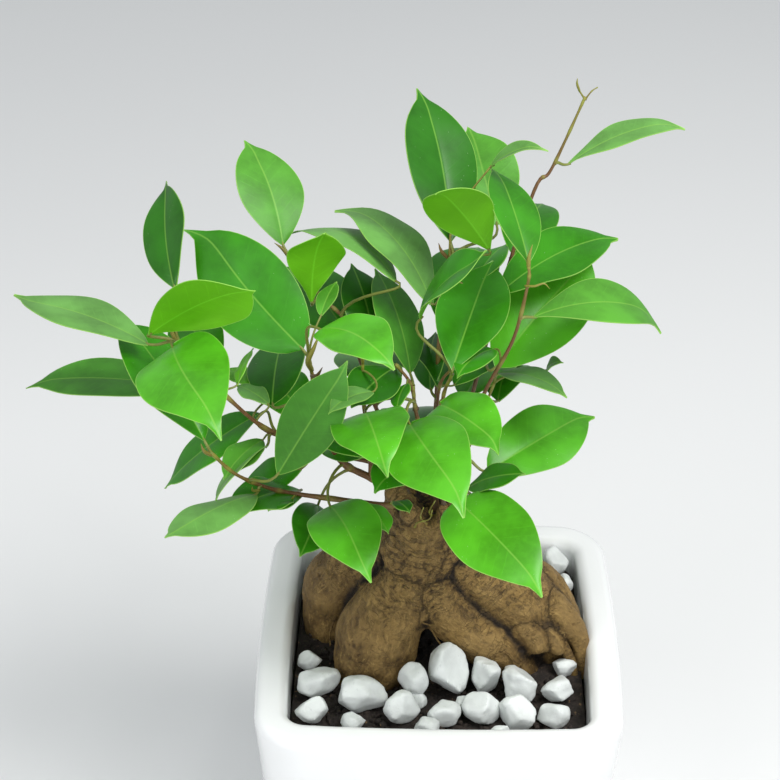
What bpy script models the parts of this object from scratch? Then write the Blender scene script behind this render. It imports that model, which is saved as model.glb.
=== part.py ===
"""Potted ficus: a ficus with a swollen root trunk and grafted leafy twigs, in a square glazed pot.

Lengths are in millimetres and angles in degrees until a mesh is made, in metres.
The origin is the middle of the pot's base, +Z is up, +X is right and the front faces -Y.
"""

import math

import bmesh
import bpy
from mathutils import Matrix, Vector, noise

MM = 0.001
GAP = 0.3

# Pot
POT_WIDTH = 130.0
POT_BASE_WIDTH = 114.0
POT_HEIGHT = 110.0
RIM_WIDTH = 12.0
FLOOR_THICKNESS = 12.0
OUTER_CORNER_RADIUS = 19.0
INNER_CORNER_RADIUS = 10.0
CAVITY_DRAFT = 4.0
RIM_ROUNDING = 4.0
FOOT_ROUNDING = 2.0
SIDE_BOW = 1.0
CORNER_STEPS = 5
SIDE_STEPS = 4

# Soil and planting
SOIL_DROP = 12.0
ROOT_CLEARANCE = 1.0
TRUNK_HEIGHT = 66.0
TRUNK_VOXEL = 4.5
TUBE_SIDES = 12

# Twigs and leaves
TWIG_SIDES = 6
PETIOLE_RADIUS = 0.6
SHORTEST_STALK = 3.0
STALK_STEPS = 3
LEAF_THICKNESS = 0.7
LEAF_TIP_HALF_WIDTH = 0.35

# Driven sizes
SOIL_TOP = POT_HEIGHT - SOIL_DROP
GRAFT_HEIGHT = SOIL_TOP + GAP + TRUNK_HEIGHT
CAVITY_HALF_WIDTH = POT_WIDTH / 2 - RIM_WIDTH

# Each root runs down from the neck: x, y, height above the soil, radius. They are drawn for
# a cavity whose half width at the soil is DRAWN_REACH, and spread with the real one.
DRAWN_REACH = 51.5
ROOTS = {
    "neck": [(-4, 2, 74, 17), (-6, 1, 56, 16), (-9, -1, 43, 16), (-9, -2, 33, 16)],
    "left_back": [(-14, 4, 40, 13), (-28, 10, 30, 13), (-36, 14, 18, 13), (-39, 16, -8, 12)],
    "left_front": [(-12, -2, 34, 14), (-19, -5, 23, 15), (-23, -8, 11, 16), (-26, -10, -8, 14)],
    "low_right": [(-5, -4, 33, 10), (2, -7, 24, 9.5), (11, -8, 16, 9), (22, -7, 7, 9), (34, -5, -8, 7)],
    "high_right": [(-4, 4, 46, 14), (11, 5, 39, 13), (24, 7, 29, 13), (35, 6, 19, 12), (43, 3, -8, 8)],
    "back_right": [(8, 12, 38, 9), (24, 22, 24, 9.5), (33, 29, 9, 8.5), (35, 32, -8, 8)],
    "back_left": [(-8, 10, 38, 10), (-16, 24, 24, 10), (-22, 34, 8, 9), (-24, 36, -8, 8)],
}

# Each pebble lies on the soil: x, y, length, width, height, turn about Z.
PEBBLES = [
    (-43, -25, 15, 12, 10, 10),
    (-27, -32, 19, 12, 13, -15),
    (-9, -27, 11, 10, 15, 30),
    (3, -23, 16, 14, 20, 20),
    (17, -23, 10, 12, 15, -10),
    (29, -25, 12.5, 13, 13, 0),
    (42, -26, 12, 11, 10, 25),
    (45.5, 46, 10, 12, 12, 0),
    (47, 32, 9, 12, 10, 5),
    (-41, 42, 16, 12, 10, 40),
]

# Each twig stands upright on the cut top of the trunk up to its first point: the radius at its
# foot, the radius at its end, and its points as x, y and height above that top.
TWIGS = {
    "right": (1.4, 0.8, [
        (5, -4, 4), (6, -5, 18), (10, -6, 38), (15, -8, 55), (23, -10, 75), (27, -10, 96), (27, -9, 102),
    ]),
    "whip": (1.4, 0.7, [
        (6, 6, 4), (9, 12, 30), (19, 22, 72), (30, 30, 109), (35, 32, 115), (40, 34, 126), (46, 36, 141),
    ]),
    "low_left": (1.8, 0.9, [
        (-9, -9, 4), (-12, -12, 8), (-22, -15, 11), (-49, -14, 14), (-60, -17, 19), (-70, -22, 28),
        (-77, -26, 39),
    ]),
    "far_left": (1.8, 0.9, [
        (-12, 8, 4), (-15, 8, 9), (-24, 6, 14), (-39, 3, 20), (-59, -6, 35), (-70, -10, 48), (-81, -10, 62),
        (-88, -8, 71),
    ]),
    "left_front": (2.8, 1.0, [
        (-13, -1, 5), (-17, -1, 9), (-27, -3, 15), (-35, -6, 23), (-40, -6, 36), (-43, -6, 52),
        (-45, -6, 64),
    ]),
    "centre": (1.6, 0.8, [(-2, -2, 4), (-5, -5, 25), (-9, -7, 44), (-10, -5, 53)]),
    "front": (1.5, 0.8, [(1, -9, 4), (0, -11, 30), (0, -9, 50), (3, -10, 61)]),
    "crown": (1.6, 0.8, [(-1, 9, 4), (-2, 14, 27), (-1, 16, 63), (1, 16, 86), (3, 14, 93)]),
    "back_left": (1.6, 0.8, [
        (-7, 12, 4), (-11, 13, 10), (-22, 15, 28), (-28, 16, 48), (-34, 18, 65), (-42, 20, 73),
        (-52, 25, 85),
    ]),
}

# Each leaf: the twig it grows on, the foot of its blade (x, y, height above the trunk's top),
# heading about Z, pitch above level, roll about its own line, length, width, bow, fold.
LEAVES = [
    ("far_left", (-89, -2, 88), 98, 32, -44, 42, 20, 2, 0.2),
    ("far_left", (-97, -13, 77), -22, 33, -54, 47, 28, 4, -0.1),
    ("far_left", (-89, -16, 74), -65, -3, 20, 50, 31, 6, 0.0),
    ("far_left", (-98, -8, 70), 163, 9, 7, 50, 24, 4, 0.1),
    ("far_left", (-87, 8, 42), 173, -2, 0, 58, 24, 4, 0.1),
    ("far_left", (-63, 8, 33), 186, -40, -11, 46, 20, 3, 0.1),
    ("low_left", (-79, -25, 43), 131, 29, 7, 54, 25, 4, 0.1),
    ("low_left", (-63, -20, 18), -130, 6, 9, 44, 20, 3, -0.2),
    ("low_left", (-55, -27, 31), 12, 59, 55, 48, 20, 2, 0.1),
    ("left_front", (-47, -5, 67), 141, 35, -39, 57, 30, 3, 0.05),
    ("left_front", (-58, -4, 44), 87, 7, -12, 38, 21, 3, 0.1),
    ("left_front", (-40, -22, 85), -50, 6, 10, 37, 21, 4, 0.15),
    ("left_front", (-38, -22, 15), -70, -2, 10, 42, 24, 5, 0.05),
    ("left_front", (-43, -6, 4), -99, -1, -30, 30, 16, 3, 0.1),
    ("back_left", (-55, 27, 89), 115, 36, 4, 42, 24, 3, 0.1),
    ("back_left", (-45, 14, 73), -59, 72, -14, 34, 20, 5, -0.1),
    ("back_left", (-16, 12, 84), 144, 4, 17, 46, 22, 8, 0.0),
    ("back_left", (-23, 10, 56), 108, 33, 12, 36, 18, 3, 0.1),
    ("back_left", (-30, 22, 50), 125, 15, 0, 50, 26, 6, 0.1),
    ("centre", (-13, -8, 31), -153, 16, -13, 34, 20, 3, 0.0),
    ("centre", (-26, -16, 49), -79, 7, 10, 43, 26, 5, 0.0),
    ("centre", (-11, 1, 54), 111, 32, 25, 42, 20, 3, 0.1),
    ("centre", (-11, -24, 50), -67, -1, 20, 50, 28, 6, 0.0),
    ("front", (-1, -12, 50), -57, 6, 20, 38, 22, 4, 0.1),
    ("front", (-8, -8, 81), -14, 48, 7, 36, 20, 4, 0.3),
    ("front", (3, -14, 65), 70, 29, 0, 44, 25, 3, 0.1),
    ("crown", (2, 16, 97), 105, 42, 19, 56, 28, 3, 0.1),
    ("crown", (18, 30, 96), 104, 28, -3, 42, 25, 3, 0.1),
    ("crown", (15, 6, 99), -142, 52, 49, 40, 22, 3, 0.1),
    ("crown", (-4, 10, 76), 133, 24, 15, 50, 24, 7, 0.1),
    ("crown", (2, 26, 55), 75, 12, 0, 50, 26, 7, 0.1),
    ("right", (27, -8, 102), 107, 27, 24, 40, 20, 2, 0.15),
    ("right", (29, -8, 82), 19, -10, 7, 47, 24, 7, 0.1),
    ("right", (16, -9, 21), 40, 6, 24, 48, 25, 3, 0.1),
    ("right", (5, -22, 18), -54, -9, 20, 50, 28, 5, 0.05),
    ("whip", (19, 10, 81), 31, 11, 7, 48, 24, 4, 0.1),
    ("whip", (18, 1, 57), 46, 27, 23, 55, 30, 4, 0.1),
    ("whip", (41, 36, 116), 21, 12, 0, 44, 14, 3, 0.1),
]


def clear_scene():
    for old in list(bpy.data.objects):
        bpy.data.objects.remove(old, do_unlink=True)


def material(name, colour, roughness):
    """A Principled material of one colour."""
    made = bpy.data.materials.get(name)
    if made:
        return made
    made = bpy.data.materials.new(name)
    made.use_nodes = True
    shader = made.node_tree.nodes["Principled BSDF"]
    shader.inputs["Base Color"].default_value = (*colour, 1.0)
    shader.inputs["Roughness"].default_value = roughness
    shader.inputs["Metallic"].default_value = 0.0
    made.diffuse_color = (*colour, 1.0)
    return made


def add_object(name, bm, finish):
    """Turn a bmesh in millimetres into a named object in metres."""
    bmesh.ops.recalc_face_normals(bm, faces=bm.faces)
    bmesh.ops.transform(bm, matrix=Matrix.Scale(MM, 4), verts=bm.verts)
    mesh = bpy.data.meshes.new(name)
    bm.to_mesh(mesh)
    bm.free()
    mesh.materials.append(finish)
    made = bpy.data.objects.new(name, mesh)
    bpy.context.scene.collection.objects.link(made)
    return made


def loft(bm, rings):
    """Skin a list of closed rings of points, with a flat cap on the first and the last."""
    rows = [[bm.verts.new(point) for point in ring] for ring in rings]
    for low, high in zip(rows, rows[1:]):
        for i in range(len(low)):
            j = (i + 1) % len(low)
            bm.faces.new((low[i], low[j], high[j], high[i]))
    bm.faces.new(rows[0][::-1])
    bm.faces.new(rows[-1])


def smooth_path(points, steps):
    """Points along a Catmull-Rom curve through the given ones, with their radii."""
    points = [Vector(point).to_4d() if len(point) == 3 else Vector(point) for point in points]
    padded = [points[0] * 2 - points[1], *points, points[-1] * 2 - points[-2]]
    path = []
    for a, b, c, d in zip(padded, padded[1:], padded[2:], padded[3:]):
        for i in range(steps):
            t = i / steps
            bend = (a * 2 - b * 5 + c * 4 - d) * t**2 + (b * 3 - a - c * 3 + d) * t**3
            path.append((b * 2 + (c - a) * t + bend) / 2)
    path.append(points[-1])
    return path


def tube_rings(centres, radii, sides):
    """Rings of points square to a path, each turned as little as possible from the last."""
    rings = []
    across = Vector((1, 0, 0))
    for i, centre in enumerate(centres):
        along = (centres[min(i + 1, len(centres) - 1)] - centres[max(i - 1, 0)]).normalized()
        across = (across - along * across.dot(along)).normalized()
        up = along.cross(across)
        rings.append(
            [
                centre + (across * math.cos(angle) + up * math.sin(angle)) * radii[i]
                for angle in (2 * math.pi * k / sides for k in range(sides))
            ]
        )
    return rings


def rounded_square(half_width, corner_radius, height, bow=0.0):
    """A closed ring: a square with round corners, whose sides bow outwards a little."""
    ring = []
    flat = half_width - corner_radius
    for side in range(4):
        turn = Matrix.Rotation(side * math.pi / 2, 3, "Z")
        for i in range(SIDE_STEPS):
            share = i / SIDE_STEPS
            across = flat * (2 * share - 1)
            out = half_width + bow * (1 - (2 * share - 1) ** 2)
            ring.append(turn @ Vector((out, across, height)))
        for i in range(CORNER_STEPS):
            angle = math.pi / 2 * i / CORNER_STEPS
            corner = Vector((math.cos(angle), math.sin(angle), 0)) * corner_radius
            ring.append(turn @ (Vector((flat, flat, height)) + corner))
    return ring


def cavity_half_width(height):
    """Half the width of the pot's inside at a height: it narrows towards the floor."""
    share = (POT_HEIGHT - height) / (POT_HEIGHT - FLOOR_THICKNESS)
    return CAVITY_HALF_WIDTH - CAVITY_DRAFT * share


def outer_half_width(height):
    """Half the width of the pot's outside at a height."""
    return (POT_BASE_WIDTH + (POT_WIDTH - POT_BASE_WIDTH) * height / POT_HEIGHT) / 2


def build_pot():
    """The pot: tapered sides, a thick rim with rounded edges, and a plain closed floor."""
    rings = []
    foot = outer_half_width(0) - FOOT_ROUNDING
    rings.append(rounded_square(foot, OUTER_CORNER_RADIUS - FOOT_ROUNDING, 0))
    rings.append(rounded_square(outer_half_width(0), OUTER_CORNER_RADIUS, FOOT_ROUNDING, SIDE_BOW))
    for i in range(3):
        angle = math.pi / 2 * i / 2
        inset = RIM_ROUNDING * (1 - math.cos(angle))
        height = POT_HEIGHT - RIM_ROUNDING * (1 - math.sin(angle))
        rings.append(
            rounded_square(outer_half_width(height) - inset, OUTER_CORNER_RADIUS - inset, height, SIDE_BOW)
        )
    for i in range(3):
        angle = math.pi / 2 * i / 2
        inset = RIM_ROUNDING * (1 - math.sin(angle))
        height = POT_HEIGHT - RIM_ROUNDING * (1 - math.cos(angle))
        rings.append(
            rounded_square(cavity_half_width(height) + inset, INNER_CORNER_RADIUS + inset, height, SIDE_BOW)
        )
    rings.append(
        rounded_square(cavity_half_width(FLOOR_THICKNESS), INNER_CORNER_RADIUS, FLOOR_THICKNESS, SIDE_BOW)
    )
    bm = bmesh.new()
    loft(bm, rings)
    pot = add_object("pot", bm, material("white_glaze", (0.86, 0.87, 0.88), 0.12))
    pot.data.shade_smooth()
    pot.data.set_sharp_from_angle(angle=math.radians(40))


def build_soil():
    """The soil: it fills the cavity up to a little below the rim."""
    bm = bmesh.new()
    rings = []
    for height in (FLOOR_THICKNESS + GAP, SOIL_TOP):
        half = cavity_half_width(height) - GAP
        rings.append(rounded_square(half, INNER_CORNER_RADIUS - GAP, height, SIDE_BOW))
    loft(bm, rings)
    add_object("soil", bm, material("dark_soil", (0.03, 0.022, 0.018), 0.95))


def root_spread():
    """How far the roots and pebbles are spread from the way they are drawn."""
    return (cavity_half_width(SOIL_TOP) - ROOT_CLEARANCE) / DRAWN_REACH


def build_trunk():
    """The trunk: a neck that parts into fat roots, grown together, cut level at the top."""
    spread = root_spread()
    bm = bmesh.new()
    for points in ROOTS.values():
        path = smooth_path(points, 3)
        centres = [Vector((p.x * spread, p.y * spread, SOIL_TOP + p.z)) for p in path]
        loft(bm, tube_rings(centres, [p.w * spread for p in path], TUBE_SIDES))
    trunk = add_object("trunk", bm, material("root_bark", (0.33, 0.2, 0.1), 0.8))
    grown = trunk.modifiers.new("grown_together", "REMESH")
    grown.mode = "VOXEL"
    grown.voxel_size = TRUNK_VOXEL * MM
    soften = trunk.modifiers.new("soften", "SMOOTH")
    soften.factor = 0.5
    soften.iterations = 2
    room = build_trunk_room(trunk.data.materials[0])
    trim = trunk.modifiers.new("cut_level", "BOOLEAN")
    trim.operation = "INTERSECT"
    trim.object = room
    trunk.data.shade_smooth()


def build_trunk_room(finish):
    """The space from the soil to the trunk's cut top, which trims the trunk. It is a guide."""
    bm = bmesh.new()
    rings = []
    for height in (SOIL_TOP + GAP, GRAFT_HEIGHT):
        half = cavity_half_width(SOIL_TOP) - GAP
        rings.append(rounded_square(half, INNER_CORNER_RADIUS, height))
    loft(bm, rings)
    room = add_object("trunk_room", bm, finish)
    room.hide_render = True
    room.display_type = "WIRE"
    return room


def build_pebble(number, x, y, length, width, height, turn):
    """A worn white stone, lumpy and round, sized and placed with the roots' spread."""
    spread = root_spread()
    bm = bmesh.new()
    bmesh.ops.create_icosphere(bm, subdivisions=2, radius=0.5)
    for vert in bm.verts:
        lump = noise.noise(vert.co * 2.3 + Vector((number * 7.1, 0, 0)))
        vert.co *= 1 + 0.22 * lump
    low = [min(vert.co[axis] for vert in bm.verts) for axis in range(3)]
    high = [max(vert.co[axis] for vert in bm.verts) for axis in range(3)]
    for vert in bm.verts:
        for axis, size in enumerate((length, width, height)):
            share = (vert.co[axis] - low[axis]) / (high[axis] - low[axis])
            vert.co[axis] = (share - 0.5) * size * spread
    place = Vector((x * spread, y * spread, SOIL_TOP + GAP + height * spread / 2))
    matrix = Matrix.Translation(place) @ Matrix.Rotation(math.radians(turn), 4, "Z")
    bmesh.ops.transform(bm, matrix=matrix, verts=bm.verts)
    pebble = add_object(f"pebble_{number}", bm, material("white_stone", (0.8, 0.8, 0.79), 0.55))
    pebble.data.shade_smooth()


def twig_path(points):
    """A twig's smooth centre line, from its points above the trunk's top."""
    path = [Vector((p.x, p.y, GRAFT_HEIGHT + p.z)) for p in smooth_path(points, 3)]
    foot = Vector((path[0].x, path[0].y, GRAFT_HEIGHT + GAP))
    return [foot, *path]


def build_twig(name, foot_radius, end_radius, points):
    """A twig: a thin tapered stem."""
    centres = twig_path(points)
    last = len(centres) - 1
    radii = [foot_radius + (end_radius - foot_radius) * i / last for i in range(last + 1)]
    bm = bmesh.new()
    loft(bm, tube_rings(centres, radii, TWIG_SIDES))
    twig = add_object(f"twig_{name}", bm, material("twig_bark", (0.22, 0.12, 0.05), 0.6))
    twig.data.shade_smooth()


def leaf_outline(share):
    """Half the blade's width, as a share of its greatest half width: oval with a drawn-out tip."""
    oval = math.sin(math.pi * min(share / 0.93, 1.0) ** 1.05) ** 0.8 if share < 0.93 else 0.0
    point = 0.16 * (1 - share) / 0.25 if share > 0.75 else 0.0
    return max(oval, min(point, 0.16))


def leaf_section(centre, side, normal, half_width, thickness, fold):
    """A closed ring of eight points across a leaf, a little thicker along the midrib."""
    ring = []
    for i in range(8):
        across = (-1, -0.5, 0, 0.5, 1, 0.5, 0, -0.5)[i]
        lift = (0, 0.85, 1.15, 0.85, 0, -0.85, -1.15, -0.85)[i]
        raised = fold * abs(across) * half_width + lift * thickness / 2
        ring.append(centre + side * across * half_width + normal * raised)
    return ring


def leaf_axes(heading, pitch, roll):
    """The directions along a leaf, to its side and out of its upper face."""
    h, p, r = (math.radians(angle) for angle in (heading, pitch, roll))
    along = Vector((math.cos(p) * math.cos(h), math.cos(p) * math.sin(h), math.sin(p)))
    level = Vector((-math.sin(p) * math.cos(h), -math.sin(p) * math.sin(h), math.cos(p)))
    normal = level * math.cos(r) + along.cross(level) * math.sin(r)
    return along, normal.cross(along), normal


def stalk_curve(start, stalk, foot, along):
    """Points on a stalk's centre line, which turns evenly from its own line into the blade's."""
    reach = (foot - start).length * 0.4
    pull = start + stalk * reach
    push = foot - along * reach
    curve = []
    for i in range(STALK_STEPS + 1):
        t = i / STALK_STEPS
        near = start * (1 - t) ** 3 + pull * 3 * t * (1 - t) ** 2
        far = push * 3 * t**2 * (1 - t) + foot * t**3
        curve.append(near + far)
    return curve


def build_leaf(name, twig, foot, heading, pitch, roll, length, width, bow, fold):
    """A leaf: its stalk, from just clear of the twig, and its blade, as one closed skin."""
    foot_radius, end_radius, points = TWIGS[twig]
    foot = Vector(foot) + Vector((0, 0, GRAFT_HEIGHT))
    stem = twig_path(points)
    nearest = min(range(len(stem)), key=lambda i: (stem[i] - foot).length)
    radius = foot_radius + (end_radius - foot_radius) * nearest / (len(stem) - 1)
    along, side, normal = leaf_axes(heading, pitch, roll)
    stalk = (foot - stem[nearest]).normalized()
    clear = radius + GAP + PETIOLE_RADIUS
    start = stem[nearest] + stalk * clear
    foot = stem[nearest] + stalk * max((foot - stem[nearest]).length, clear + SHORTEST_STALK)
    rings = []
    curve = stalk_curve(start, stalk, foot, along)
    for here, ahead in zip(curve, curve[1:]):
        line = (ahead - here).normalized()
        across = (side - line * side.dot(line)).normalized()
        ring = leaf_section(here, across, line.cross(across), PETIOLE_RADIUS, 2 * PETIOLE_RADIUS, 0)
        rings.append(ring)
    for share in (0.0, 0.08, 0.2, 0.35, 0.5, 0.65, 0.8, 0.92, 1.0):
        centre = foot + along * length * share + normal * bow * 4 * share * (1 - share)
        half = max(leaf_outline(share) * width / 2, LEAF_TIP_HALF_WIDTH)
        thick = LEAF_THICKNESS
        if share == 0:
            half = PETIOLE_RADIUS
            thick = 2 * PETIOLE_RADIUS
        rings.append(leaf_section(centre, side, normal, half, thick, fold))
    bm = bmesh.new()
    loft(bm, rings)
    leaf = add_object(name, bm, material("leaf_green", (0.08, 0.3, 0.02), 0.35))
    leaf.data.shade_smooth()


def main():
    clear_scene()
    build_pot()
    build_soil()
    build_trunk()
    for number, pebble in enumerate(PEBBLES, 1):
        build_pebble(number, *pebble)
    for name, twig in TWIGS.items():
        build_twig(name, *twig)
    counts = {}
    for leaf in LEAVES:
        twig = leaf[0]
        counts[twig] = counts.get(twig, 0) + 1
        build_leaf(f"leaf_{twig}_{counts[twig]}", *leaf)


main()
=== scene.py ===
"""Potted ficus: a square glazed pot with soil, pebbles, a swollen root trunk and leafy twigs.

Tables are in millimetres and degrees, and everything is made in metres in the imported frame.
"""

import math
import random

import bmesh
import bpy
import numpy as np
from bpy.props import FloatProperty, FloatVectorProperty, IntProperty, PointerProperty
from bpy.types import Operator, Panel, PropertyGroup
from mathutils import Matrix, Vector, noise


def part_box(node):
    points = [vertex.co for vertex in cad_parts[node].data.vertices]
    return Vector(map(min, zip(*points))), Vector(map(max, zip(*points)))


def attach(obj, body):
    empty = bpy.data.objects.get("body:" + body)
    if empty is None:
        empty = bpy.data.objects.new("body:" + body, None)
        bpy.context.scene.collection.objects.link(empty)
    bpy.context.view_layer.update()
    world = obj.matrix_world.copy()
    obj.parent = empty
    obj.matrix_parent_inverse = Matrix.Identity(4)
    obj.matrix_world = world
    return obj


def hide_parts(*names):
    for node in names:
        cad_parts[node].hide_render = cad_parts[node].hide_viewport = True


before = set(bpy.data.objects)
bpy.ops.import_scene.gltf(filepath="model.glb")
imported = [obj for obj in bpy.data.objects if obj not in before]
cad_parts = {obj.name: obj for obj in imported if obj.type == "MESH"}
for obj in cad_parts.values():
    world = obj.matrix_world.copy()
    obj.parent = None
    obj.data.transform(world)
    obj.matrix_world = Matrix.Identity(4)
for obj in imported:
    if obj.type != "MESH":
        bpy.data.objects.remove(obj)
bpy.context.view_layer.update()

bl_info = {
    "name": "Potted Ficus",
    "version": (1, 0, 0),
    "blender": (4, 5, 0),
    "location": "3D View > Sidebar > Ficus",
    "description": "Models a potted ficus around its packed frame",
    "category": "Object",
}

MM = 0.001

# Levels read from the frame in metres, and in millimetres the two that the tables count from
POT_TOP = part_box("pot")[1].z
SOIL_LOW, SOIL_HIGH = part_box("soil")
TRUNK_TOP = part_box("trunk")[1].z
GRAFT = TRUNK_TOP / MM
SOIL_TOP = SOIL_HIGH.z / MM

# How finely a curve is divided between two given points, and how far apart two roots' patterns lie
CURVE_STEPS = 6
PATTERN_GAP = 37.0

# A twig's bark is slimmer than its solid in the frame. Its joints are shares of its length.
TWIG_SLIMNESS = 0.58
TWIG_JOINTS = (0.3, 0.45, 0.6, 0.75, 0.88, 0.98)
SHOOT_JOINTS = (0.5, 0.95)

# Columns across a leaf's blade, from edge to edge, and rows along it
COLUMNS = (-1, -0.94, -0.76, -0.52, -0.28, -0.07, 0, 0.07, 0.28, 0.52, 0.76, 0.94, 1)
ROWS = 24

# The camera: place in metres, degrees down and round, lens and sensor in millimetres
CAMERA_PLACE = (-0.00625, -0.576, 0.578)
CAMERA_DOWN, CAMERA_ROUND = 32.4, 1.16
CAMERA_LENS, CAMERA_SENSOR = 92.3, 36

# Roots, from the neck down: x, y, height above the soil, radius
ROOTS = {
    "neck": [(-4, 2, 66, 16.5), (-5, 1, 56, 16), (-7, 0, 47, 15), (-8, 0, 39, 12), (-9, 0, 30, 7)],
    "left_back": [
        (-14, 6, 42, 9), (-21, 9, 37, 11), (-30, 12, 30, 12.5), (-38, 14, 18, 12.5),
        (-41, 16, -8, 11),
    ],
    "left_front": [
        (-8, -3, 44, 9), (-13, -6, 34, 11.5), (-19, -9, 23, 14.5), (-23, -10, 11, 15.5),
        (-25, -11, -8, 13),
    ],
    "low_right": [
        (-7, -4, 42, 8), (-3, -6, 34, 9.5), (3, -8, 25, 9.5), (12, -9, 16, 9.5), (23, -8, 6, 9.5),
        (34, -6, -8, 7),
    ],
    "high_right": [
        (-2, 4, 48, 10), (8, 3, 42, 12.5), (20, 3, 32, 14.5), (31, 2, 21, 13), (38, 1, 12, 9.5),
        (43, 2, -8, 8),
    ],
    "back_right": [
        (2, 8, 46, 10), (10, 13, 37, 9.5), (24, 22, 24, 9.5), (33, 29, 9, 8.5), (35, 32, -8, 8),
    ],
    "back_left": [
        (-6, 8, 46, 10), (-10, 14, 36, 10), (-16, 24, 24, 10), (-22, 34, 8, 9), (-24, 36, -8, 8),
    ],
    "outer": [(28, 8, 28, 11), (39, 9, 20, 9), (47, 6, 10, 7), (49, 4, -8, 7)],
    "finger": [
        (38, 0, 24, 6), (45, -3, 20, 5.5), (51, -5, 12, 4.4), (53, -7, 4, 3.8), (53, -8, -6, 3.6),
    ],
    "knob": [(31, -6, 18, 7), (35, -10, 13, 5), (36, -12, 9, 3.4)],
    "tip": [(39, -6, 15, 4.5), (43, -10, 11, 3), (44, -11, 8, 2.4)],
    "crotch": [(-6, -9, 34, 5), (-6, -14, 29, 3.4), (-6, -15, 26, 2.6)],
    "collar": [(-12, -3, 60, 7), (-13, -2, 67, 5.5), (-15, -2, 71, 4.2), (-18, -2, 75, 3.4)],
    "collar_low": [(-8, -7, 60, 6), (-10, -9, 68, 4.4), (-12, -12, 73, 3)],
    "collar_front": [(1, -7, 60, 6), (1, -9, 68, 3.6), (1, -10, 74, 2.2)],
    "collar_right": [(4, -3, 60, 6), (5, -4, 68, 3.8), (6, -5, 76, 2.2)],
    "collar_whip": [(5, 5, 60, 6), (6, 6, 68, 3.8), (7, 8, 76, 2.2)],
    "collar_back": [(-4, 9, 60, 7), (-2, 9, 68, 4.5), (-2, 11, 75, 2.4)],
    "collar_left": [(-10, 8, 60, 6), (-12, 8, 68, 4), (-14, 8, 74, 2.6)],
}

# Thin roots that hang or cling: points as x, y, height above the soil, then the two radii
HAIR_ROOTS = [
    ([(-8, -15, 29), (-6, -17, 27), (-4, -17, 26), (-2, -18, 26)], 0.45, 0.2),
    ([(-12, -19, 31), (-13, -21, 25), (-13, -22, 22), (-11, -22, 20)], 0.5, 0.2),
    ([(44, -7, 13), (47, -10, 8), (49, -11, 3), (50, -12, -4)], 2.1, 1.6),
    ([(24, -16, 13), (28, -17, 9), (30, -18, 10)], 0.4, 0.2),
    ([(-3, -14, 22), (0, -17, 18), (3, -19, 16)], 0.4, 0.2),
    ([(18, -15, 17), (22, -17, 14), (24, -17, 15)], 0.35, 0.15),
    ([(-38, 2, 14), (-40, 0, 8), (-40, -2, 3)], 0.5, 0.25),
    ([(14, 30, 16), (16, 34, 8), (15, 37, 1)], 1.2, 0.7),
    ([(-6, 36, 14), (-4, 40, 7), (-3, 42, 0)], 1.0, 0.6),
]

# Twigs: radius at the foot, radius at the end, points as x, y, height above the graft
TWIGS = {
    "right": (1.4, 0.8, [
        (5, -4, 4), (6, -5, 18), (10, -6, 38), (15, -8, 55), (23, -10, 75), (27, -10, 96),
        (27, -9, 102),
    ]),
    "whip": (1.4, 0.7, [
        (6, 6, 4), (9, 12, 30), (19, 22, 72), (30, 30, 109), (35, 32, 115), (40, 34, 126),
        (46, 36, 141),
    ]),
    "low_left": (1.8, 0.9, [
        (-9, -9, 4), (-12, -12, 8), (-22, -15, 11), (-49, -14, 14), (-60, -17, 19), (-70, -22, 28),
        (-77, -26, 39),
    ]),
    "far_left": (1.8, 0.9, [
        (-12, 8, 4), (-15, 8, 9), (-24, 6, 14), (-39, 3, 20), (-59, -6, 35), (-70, -10, 48),
        (-81, -10, 62), (-88, -8, 71),
    ]),
    "left_front": (2.8, 1.0, [
        (-13, -1, 5), (-17, -1, 9), (-27, -3, 15), (-35, -6, 23), (-40, -6, 36), (-43, -6, 52),
        (-45, -6, 64),
    ]),
    "centre": (1.6, 0.8, [(-2, -2, 4), (-5, -5, 25), (-9, -7, 44), (-10, -5, 53)]),
    "front": (1.5, 0.8, [(1, -9, 4), (0, -11, 30), (0, -9, 50), (3, -10, 61)]),
    "crown": (1.6, 0.8, [(-1, 9, 4), (-2, 14, 27), (-1, 16, 63), (1, 16, 86), (3, 14, 93)]),
    "back_left": (1.6, 0.8, [
        (-7, 12, 4), (-11, 13, 10), (-22, 15, 28), (-28, 16, 48), (-34, 18, 65), (-42, 20, 73),
        (-52, 25, 85),
    ]),
}

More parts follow.
